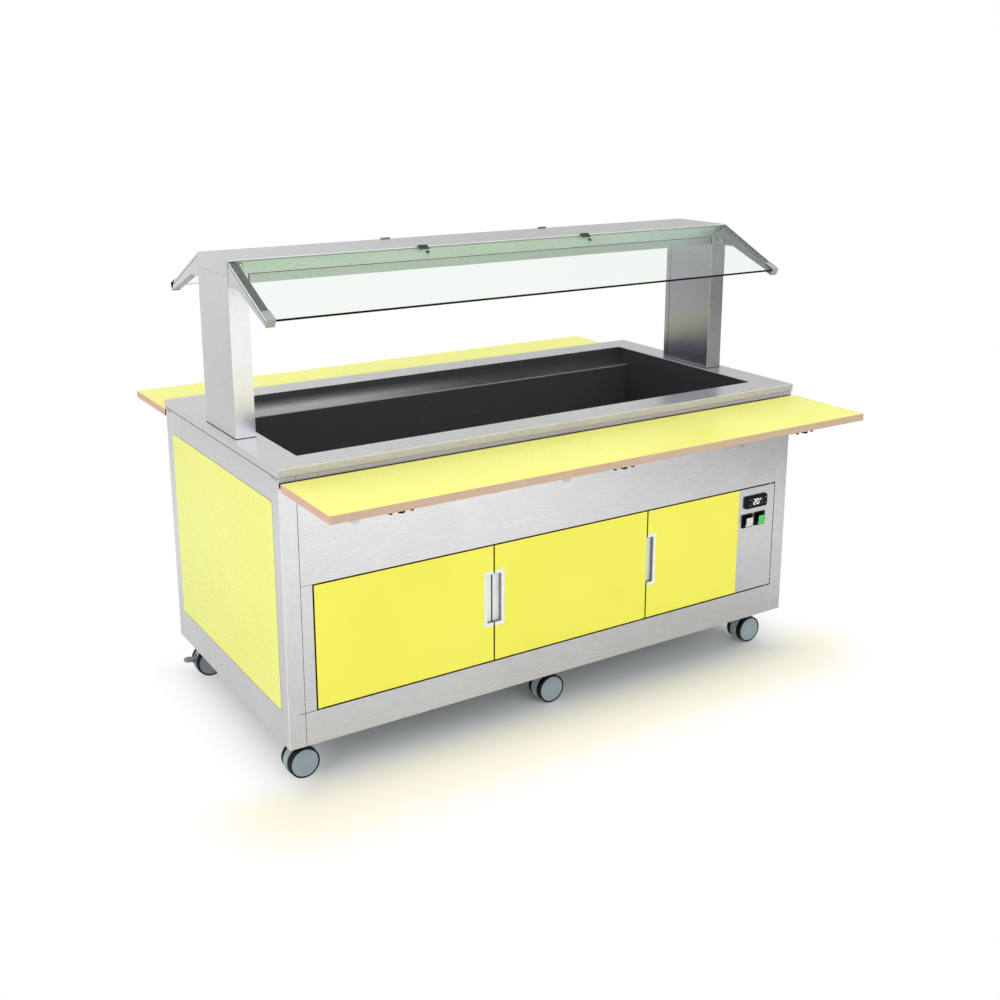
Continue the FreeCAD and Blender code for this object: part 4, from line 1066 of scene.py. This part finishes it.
low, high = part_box("front_left_wheels")
first_centre = (low + high) / 2
parts = []
for sign, edge in ((-1, low.y), (1, high.y)):
    middle = Vector((first_centre.x, edge - sign * WHEEL_WIDTH / 2, first_centre.z))
    parts.append(tyre(middle, WHEEL_WIDTH - TYRE_GAP))
    cover = Vector((first_centre.x, edge - sign * HUB_IN, first_centre.z))
    parts.append(hub(cover, HUB_WIDTH, sign))
pattern = joined(parts, "wheel_pattern")
for caster in CASTERS:
    low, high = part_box(f"{caster}_wheels")
    pair = pattern.copy()
    pair.data = pattern.data.copy()
    pair.name = f"{caster}_wheel_pair"
    pair.location = (low + high) / 2 - first_centre
    bpy.context.scene.collection.objects.link(pair)
    finish(pair, body_of(f"{caster}_wheels"), "wheel_rubber", f"{caster}_wheels")
bpy.data.objects.remove(pattern)
print("wheels made for", len(CASTERS), "casters")

# %% [markdown]
# ## Caster hoods and brake pedals
# The hood covers both wheels like a mudguard, and two of the casters have a pedal
# for their brake. Both are moulded, with soft edges. The CAD already has the right
# shape, so copies with wide rounds serve, in two greys that set the pedal off.

# %% Dress the hoods and pedals
for caster in CASTERS:
    rounded_copy(f"{caster}_caster", hood_nylon, 1.2, 3)
for caster in ("back_left", "back_right"):
    rounded_copy(f"{caster}_brake_pedal", pedal_nylon, 1.2, 3)
print("hoods and pedals dressed")

# %% [markdown]
# ## Thermostat
# The thermostat is a small panel instrument: a black frame, a dark window with lit
# digits, and two soft keys at each side. The frame, the switches' frames and the
# keys come from the CAD and are rounded. The window is a thin plate that lies on
# the frame, because a sheet of acrylic does.

# %% Model the thermostat and bezels
rounded_copy("control_bezels", bezel_nylon, 0.8, 3)
KEY_NODES = ("upper_left_key", "lower_left_key", "upper_right_key", "lower_right_key")
for node in KEY_NODES:
    rounded_copy(node, black_abs, 0.6, 3)

STRIP_Y = -371 * MM                 # the front of the control strip
WINDOW_OUT = 5 * MM                 # from the strip to the window
DISPLAY = Vector((637.0 * MM, STRIP_Y - WINDOW_OUT, 460.0 * MM))


def plate(name, centre, size, material, radius_mm):
    """A thin bevelled plate at a centre, sized along X, Y and Z."""
    deselect()
    bpy.ops.mesh.primitive_cube_add(size=1, location=centre, scale=size)
    piece = bpy.context.object
    piece.name = name
    apply_place(piece)
    paint(piece, material)
    round_edges(piece, radius_mm * MM, 2, 30)
    return piece


window = plate("thermostat_window", DISPLAY + Vector((0, -0.1, 0)) * MM,
               Vector((44, 0.6, 22)) * MM, display_window, 0.2)
finish(window, "service_door", "black_plastic")
print("thermostat window 44 by 22 mm")

# %% [markdown]
# ## Digits and key marks
# The digits are seven-segment bars, as such a display has, and show a plain number.
# Each bar is a plate of its own, because a text object would bring rounder shapes.
# The keys carry a bar for less and a cross for more.

# %% Lit digits and key marks
SEGMENTS = {"0": "abcdef", "2": "abged"}
DIGIT_HEIGHT = 14 * MM
HALF, WIDE = DIGIT_HEIGHT / 2, DIGIT_HEIGHT * 0.27
BAR = DIGIT_HEIGHT * 0.13
PLACES = {
    "a": (0, HALF), "g": (0, 0), "d": (0, -HALF), "f": (-WIDE, HALF / 2),
    "b": (WIDE, HALF / 2), "e": (-WIDE, -HALF / 2), "c": (WIDE, -HALF / 2),
}
ON_WINDOW = Vector((0, -0.45, 0)) * MM
BAR_THICK = 0.3 * MM

bars = []
for place, character in ((-9, "2"), (2, "0")):
    for segment in SEGMENTS[character]:
        x, z = PLACES[segment]
        across = segment in "agd"
        size = (WIDE * 1.7, BAR_THICK, BAR) if across else (BAR, BAR_THICK, HALF * 0.86)
        at = DISPLAY + ON_WINDOW + Vector((place * MM + x, 0, z))
        bars.append(plate("bar", at, Vector(size), digit_glow, 0.08))
degree = DISPLAY + ON_WINDOW + Vector((12, 0, 5.2)) * MM
bars.append(plate("bar", degree, Vector((3.4, 0.3, 3.4)) * MM, digit_glow, 0.08))
finish(joined(bars, "thermostat_digits"), "service_door", "key_plastic")

LYING_BAR, UPRIGHT_BAR = Vector((3.4, 0.2, 0.8)) * MM, Vector((0.8, 0.2, 3.4)) * MM
for node in KEY_NODES:
    low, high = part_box(node)
    centre = (low + high) / 2
    centre.y = low.y - 0.02 * MM
    sizes = (LYING_BAR, UPRIGHT_BAR) if "upper" in node else (LYING_BAR,)
    marks = [plate("mark", centre, size, mark_white, 0.05) for size in sizes]
    finish(joined(marks, f"{node}_mark"), body_of(node), "key_plastic")
print("digits and marks modelled")

# %% [markdown]
# ## Rocker switches
# The rockers are polycarbonate caps, one pale grey and one green, with black sides,
# so that only their faces take the colour. Each carries the usual line and ring for
# on and off, which are general signs and not words. The marks could be printed on,
# but thin solid ones lie on the tilted face like ink and ride with the rocker.

# %% Model the rockers
TILT = radians(9)
MARK_OUT, MARK_UP = -12.03, 6.5     # millimetres from the rocker's pivot


def line_mark(centre):
    """A short bar on the upper half of the rocker."""
    bpy.ops.mesh.primitive_cube_add(size=1, location=centre, rotation=(TILT, 0, 0),
                                    scale=(0.9 * MM, 0.25 * MM, 5 * MM))


def ring_mark(centre):
    """A flattened ring on the lower half of the rocker."""
    bpy.ops.mesh.primitive_torus_add(location=centre, rotation=(radians(90) + TILT, 0, 0),
                                     major_radius=2.2 * MM, minor_radius=0.35 * MM,
                                     major_segments=32, minor_segments=8)
    bpy.context.object.scale = (1, 1, 0.4)


def rocker(node, material):
    """A rounded cap with its two marks, which ride with it."""
    cap = rounded_copy(node, material, 1.4, 3)
    repaint_faces(cap, black_abs, lambda centre, normal: normal.y > -0.75)
    low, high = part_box(node)
    joint = [j for j in frame["joints"] if j["child"] == body_of(node)][0]
    pivot = Vector(((low.x + high.x) / 2, STRIP_Y + 1 * MM, joint["pos_m"][2]))
    marks = []
    for sign, draw in ((1, line_mark), (-1, ring_mark)):
        deselect()
        draw(pivot + Matrix.Rotation(TILT, 3, "X") @ (Vector((0, MARK_OUT, MARK_UP * sign)) * MM))
        marks.append(bpy.context.object)
        apply_place(marks[-1])
        paint(marks[-1], mark_white)
    finish(joined(marks, f"{node}_marks"), body_of(node), SLOTS[node])


rocker("light_switch", rocker_grey)
rocker("power_switch", rocker_green)
print("rockers modelled")

# %% [markdown]
# ## What the steel sees
# A studio is bright in some directions and dark in others, and brushed steel shows
# exactly that. Real walls and cards could stand round the case, but they would cast
# light and shadow too. So the surroundings answer each kind of ray for itself: the
# eye gets white, reflected rays get the studio's brightness by compass bearing, and
# the light that falls on the case stays at a plain level.

# %% The studio's brightness
# Bearing in degrees from +X, and the brightness there
STUDIO = (
    (-180, 0.90), (-160, 0.68), (-125, 0.66), (-105, 0.74), (-85, 0.94), (-66, 0.94),
    (-57, 0.62), (-49, 0.06), (-30, 0.04), (-10, 0.40), (38, 0.48), (58, 0.46),
    (75, 0.60), (95, 0.62), (112, 0.72), (124, 0.40), (132, 0.25), (145, 0.24),
    (165, 0.60), (180, 0.90))
BRIGHTEST = 1.3


def seen_rays(tree):
    """1 for rays from the camera or through glass, and 1 for reflected rays."""
    rays = add_node(tree, "ShaderNodeLightPath").outputs
    seen = add_node(tree, MATH, LARGER, (rays["Is Camera Ray"], rays["Is Transmission Ray"]))
    unseen = add_node(tree, MATH, MINUS, (1, seen))
    return seen, add_node(tree, MATH, TIMES, (rays["Is Glossy Ray"], unseen))


def studio_glow(tree, x, y):
    """What steel sees in a direction across the floor."""
    bearing = add_node(tree, MATH, {"operation": "ARCTAN2"}, (y, x))
    share = add_node(tree, RANGE, inputs=(bearing, -pi, pi, 0.0, 1.0))
    grey = add_node(tree, RAMP, inputs=(share,), stops=[
        ((angle + 180) / 360, (value, value, value, 1)) for angle, value in STUDIO])
    return add_node(tree, MATH, TIMES, (grey, BRIGHTEST))


print(len(STUDIO), "bearings, brightest", BRIGHTEST)

# %% [markdown]
# ## How far from the case
# The floor changes with the distance from the case, so each of its points has to
# know how far off the case stands. A texture could be painted for that, but the
# case's footprint is a rectangle, and the distance to a rectangle is a short sum.

# %% Distance from the case
FOOT_MIDDLE, FOOT_HALF_X, FOOT_HALF_Y = 0.02, 0.73, 0.373


def case_distance(tree, x, y):
    """How far a place on the floor is from the case's footprint, less than 0 under it."""
    centred = add_node(tree, MATH, MINUS, (x, FOOT_MIDDLE))
    past = [add_node(tree, MATH, MINUS, (add_node(tree, MATH, SIZE, (place,)), half))
            for place, half in ((centred, FOOT_HALF_X), (y, FOOT_HALF_Y))]
    out = [add_node(tree, MATH, LARGER, (way, 0)) for way in past]
    square = add_node(tree, MATH, PLUS, [add_node(tree, MATH, TIMES, (way, way)) for way in out])
    inside = add_node(tree, MATH, SMALLER, (add_node(tree, MATH, LARGER, past), 0))
    return add_node(tree, MATH, PLUS, (add_node(tree, MATH, ROOT, (square,)), inside))


print("footprint", 2 * FOOT_HALF_X, "by", 2 * FOOT_HALF_Y, "m")

# %% [markdown]
# ## Floor
# A plain pale floor carries the shadow. Near the case it is a real, lit surface.
# Farther out it turns to plain white, so that it ends nowhere, and just in front of
# the doors the white takes a painted warm reflection of the yellow above it.

# %% Floor
LATER = (0.5, 0.05, 0.045)          # where it begins, its share of X, and its most
# A span is where it starts and ends, and the values at its start and end
WHITE_SPAN = (-0.16, 0.16, 0.04, 1.0)
UNDER_SPAN, FAR_SPAN = (-0.7, 0.9, 0.66, 0.50), (1.2, 2.6, 0.92, 0.80)
NEAR_SPAN, FRONT_FROM_TO = (0.08, 0.30, 1.0, 0.0), (-0.25, -0.40)
PALER_FROM_TO, WALLS_FROM_TO = (0.1, 1.4), (0.5, 4.0)


def floor_material():
    """A pale floor that keeps the shadow near the case and turns white away from it."""
    material, tree, shader = new_material("studio_floor_pale", roughness=0.7)
    cloud = add_node(tree, RAMP, inputs=(grain_pattern(tree, 1.5),),
                     stops=[(0.3, linear("#d5dbdd")), (0.7, linear("#d9dfe1"))])
    tree.links.new(cloud.outputs["Color"], shader.inputs["Base Color"])
    shader.inputs["Specular IOR Level"].default_value = 0.1
    place = place_on_piece(tree)
    away = case_distance(tree, place["X"], place["Y"])
    seen, glossy = seen_rays(tree)
    # The white starts up to 45 mm later towards the right
    shift, share, most = LATER
    shifted = add_node(tree, MATH, PLUS, (place["X"], shift))
    later = add_node(tree, MATH, SMALLER, (add_node(tree, MATH, TIMES, (shifted, share)), most))
    start = add_node(tree, MATH, MINUS, (away, later))
    white_share = add_node(tree, RANGE, SMOOTH, (start, *WHITE_SPAN))
    # What steel sees: grey under the case, then paler, then the studio's walls
    under_grey = add_node(tree, RANGE, SMOOTH, (place["X"], *UNDER_SPAN))
    far_grey = add_node(tree, RANGE, SMOOTH, (place["X"], *FAR_SPAN))
    near_grey = add_node(tree, RANGE, SMOOTH, (away, *PALER_FROM_TO, under_grey, far_grey))
    walls = studio_glow(tree, place["X"], place["Y"])
    reflected = add_node(tree, RANGE, SMOOTH, (away, *WALLS_FROM_TO, near_grey, walls))
    strength = add_node(tree, MATH, PLUS,
                        (seen, add_node(tree, MATH, TIMES, (glossy, reflected))))
    # A painted reflection of the yellow doors: a warm white in front of them
    near = add_node(tree, RANGE, SMOOTH, (away, *NEAR_SPAN))
    in_front = add_node(tree, RANGE, SMOOTH, (place["Y"], *FRONT_FROM_TO, 0.0, near))
    warm_reflection_tint = add_node(tree, MIX, COLOURS, {0: in_front, COLOUR_A: WHITE,
                                         COLOUR_B: linear("#fffae4")})
    glow = add_node(tree, "ShaderNodeEmission", inputs=(warm_reflection_tint.outputs[COLOUR_OUT], strength))
    shown = add_node(tree, MATH, TIMES,
                     (add_node(tree, MATH, LARGER, (seen, glossy)), white_share))
    mixed = add_node(tree, "ShaderNodeMixShader", inputs=(shown, shader, glow))
    tree.links.new(mixed.outputs[0], tree.nodes["Material Output"].inputs["Surface"])
    return material


deselect()
bpy.ops.mesh.primitive_plane_add(size=60, location=(0, 0, 0))
floor = bpy.context.object
floor.name = "studio_floor"
paint(floor, floor_material())
print("floor laid")

# %% [markdown]
# ## World
# The world is white to the eye and gives an even light a little under full
# strength, so that pale faces keep their colour. A picture of a studio could stand
# in for all this, but plain sums stay sharp and small. Reflected rays see the
# studio's walls, which fade towards the ceiling, and one bright ceiling panel.

# %% World
PLAIN_LIGHT = 0.82
WALL_FADE, CEILING = (0.35, 0.75, 1.0, 0.55), (0.80, 0.92, 0.0, 0.8)     # spans of height

world = bpy.data.worlds.new("studio_world")
bpy.context.scene.world = world
world.use_nodes = True
tree = world.node_tree
tree.nodes.clear()
seen, glossy = seen_rays(tree)
way = add_node(tree, "ShaderNodeTexCoord").outputs["Generated"]
parts = add_node(tree, "ShaderNodeSeparateXYZ", inputs=(way,)).outputs
fade = add_node(tree, RANGE, SMOOTH, (parts["Z"], *WALL_FADE))
walls = add_node(tree, MATH, TIMES, (studio_glow(tree, parts["X"], parts["Y"]), fade))
ceiling = add_node(tree, RANGE, SMOOTH, (parts["Z"], *CEILING))
reflected = add_node(tree, MATH, PLUS, (walls, ceiling))
plain = add_node(tree, MIX, inputs={"Factor": seen, "A": PLAIN_LIGHT, "B": 1.0})
strength = add_node(tree, MIX, inputs={"Factor": glossy, "A": plain, "B": reflected})
sky = add_node(tree, "ShaderNodeBackground", inputs={"Color": WHITE, "Strength": strength})
add_node(tree, "ShaderNodeOutputWorld", inputs=(sky,))
print("world ready, plain light", PLAIN_LIGHT)

# %% [markdown]
# ## Lamps
# Three soft boxes model the case as a studio would: the strongest from the front and
# above, a weaker one from the left to lift the end panel, and one overhead. A soft
# box has a large face, so its shadows are soft. None of them shows in steel or
# glass, because the studio's brightness already gives the reflections.

# %% Lamps
SOFT_BOXES = (      # name, place, what it points at, size of its face, power in watts
    ("left_soft_box", (-3.6, -0.9, 0.95), (-0.7, 0, 0.5), (2.0, 1.6), 24),
    ("front_soft_box", (0.6, -4.2, 2.6), (0, 0, 0.5), (2.6, 1.8), 58),
    ("top_soft_box", (0, 0.4, 3.6), (0, 0, 0), (3.0, 2.0), 32),
)
for name, place, aim, face, power in SOFT_BOXES:
    lamp = bpy.data.lights.new(name, "AREA")
    lamp.shape = "RECTANGLE"
    lamp.size, lamp.size_y = face
    lamp.energy = power
    holder = bpy.data.objects.new(name, lamp)
    holder.location = place
    way = (Vector(aim) - Vector(place)).normalized()
    holder.rotation_euler = way.to_track_quat("-Z", "Y").to_euler()
    holder.visible_glossy = False
    holder.visible_transmission = False
    bpy.context.scene.collection.objects.link(holder)
print(len(SOFT_BOXES), "soft boxes")

# %% [markdown]
# ## Camera
# The camera stands where the photograph was taken. Its place, turn and lens were
# worked out from the straight edges of the case, whose real sizes the CAD gives, so
# the render lies over the photograph edge by edge.

# %% Camera
CAMERA_PLACE = (-1.70087, -2.73471, 1.54142)
CAMERA_TURN = Matrix(((0.84597261, -0.53322516, -0.00112785),
                      (0.13159121, 0.20672148, 0.96951018),
                      (-0.51673407, -0.82032747, 0.24504846))).transposed()
LENS_MM, SENSOR_MM = 44.893, 36
SHIFT_X, SHIFT_Y = 0.00668, -0.09148

lens = bpy.data.cameras.new("studio_camera")
lens.sensor_width, lens.lens = SENSOR_MM, LENS_MM
lens.shift_x, lens.shift_y = SHIFT_X, SHIFT_Y
camera = bpy.data.objects.new("studio_camera", lens)
camera.matrix_world = Matrix.Translation(CAMERA_PLACE) @ CAMERA_TURN.to_4x4()
bpy.context.scene.collection.objects.link(camera)
bpy.context.scene.camera = camera
bpy.context.scene.view_settings.view_transform = "Standard"
print("camera", LENS_MM, "mm at", CAMERA_PLACE)
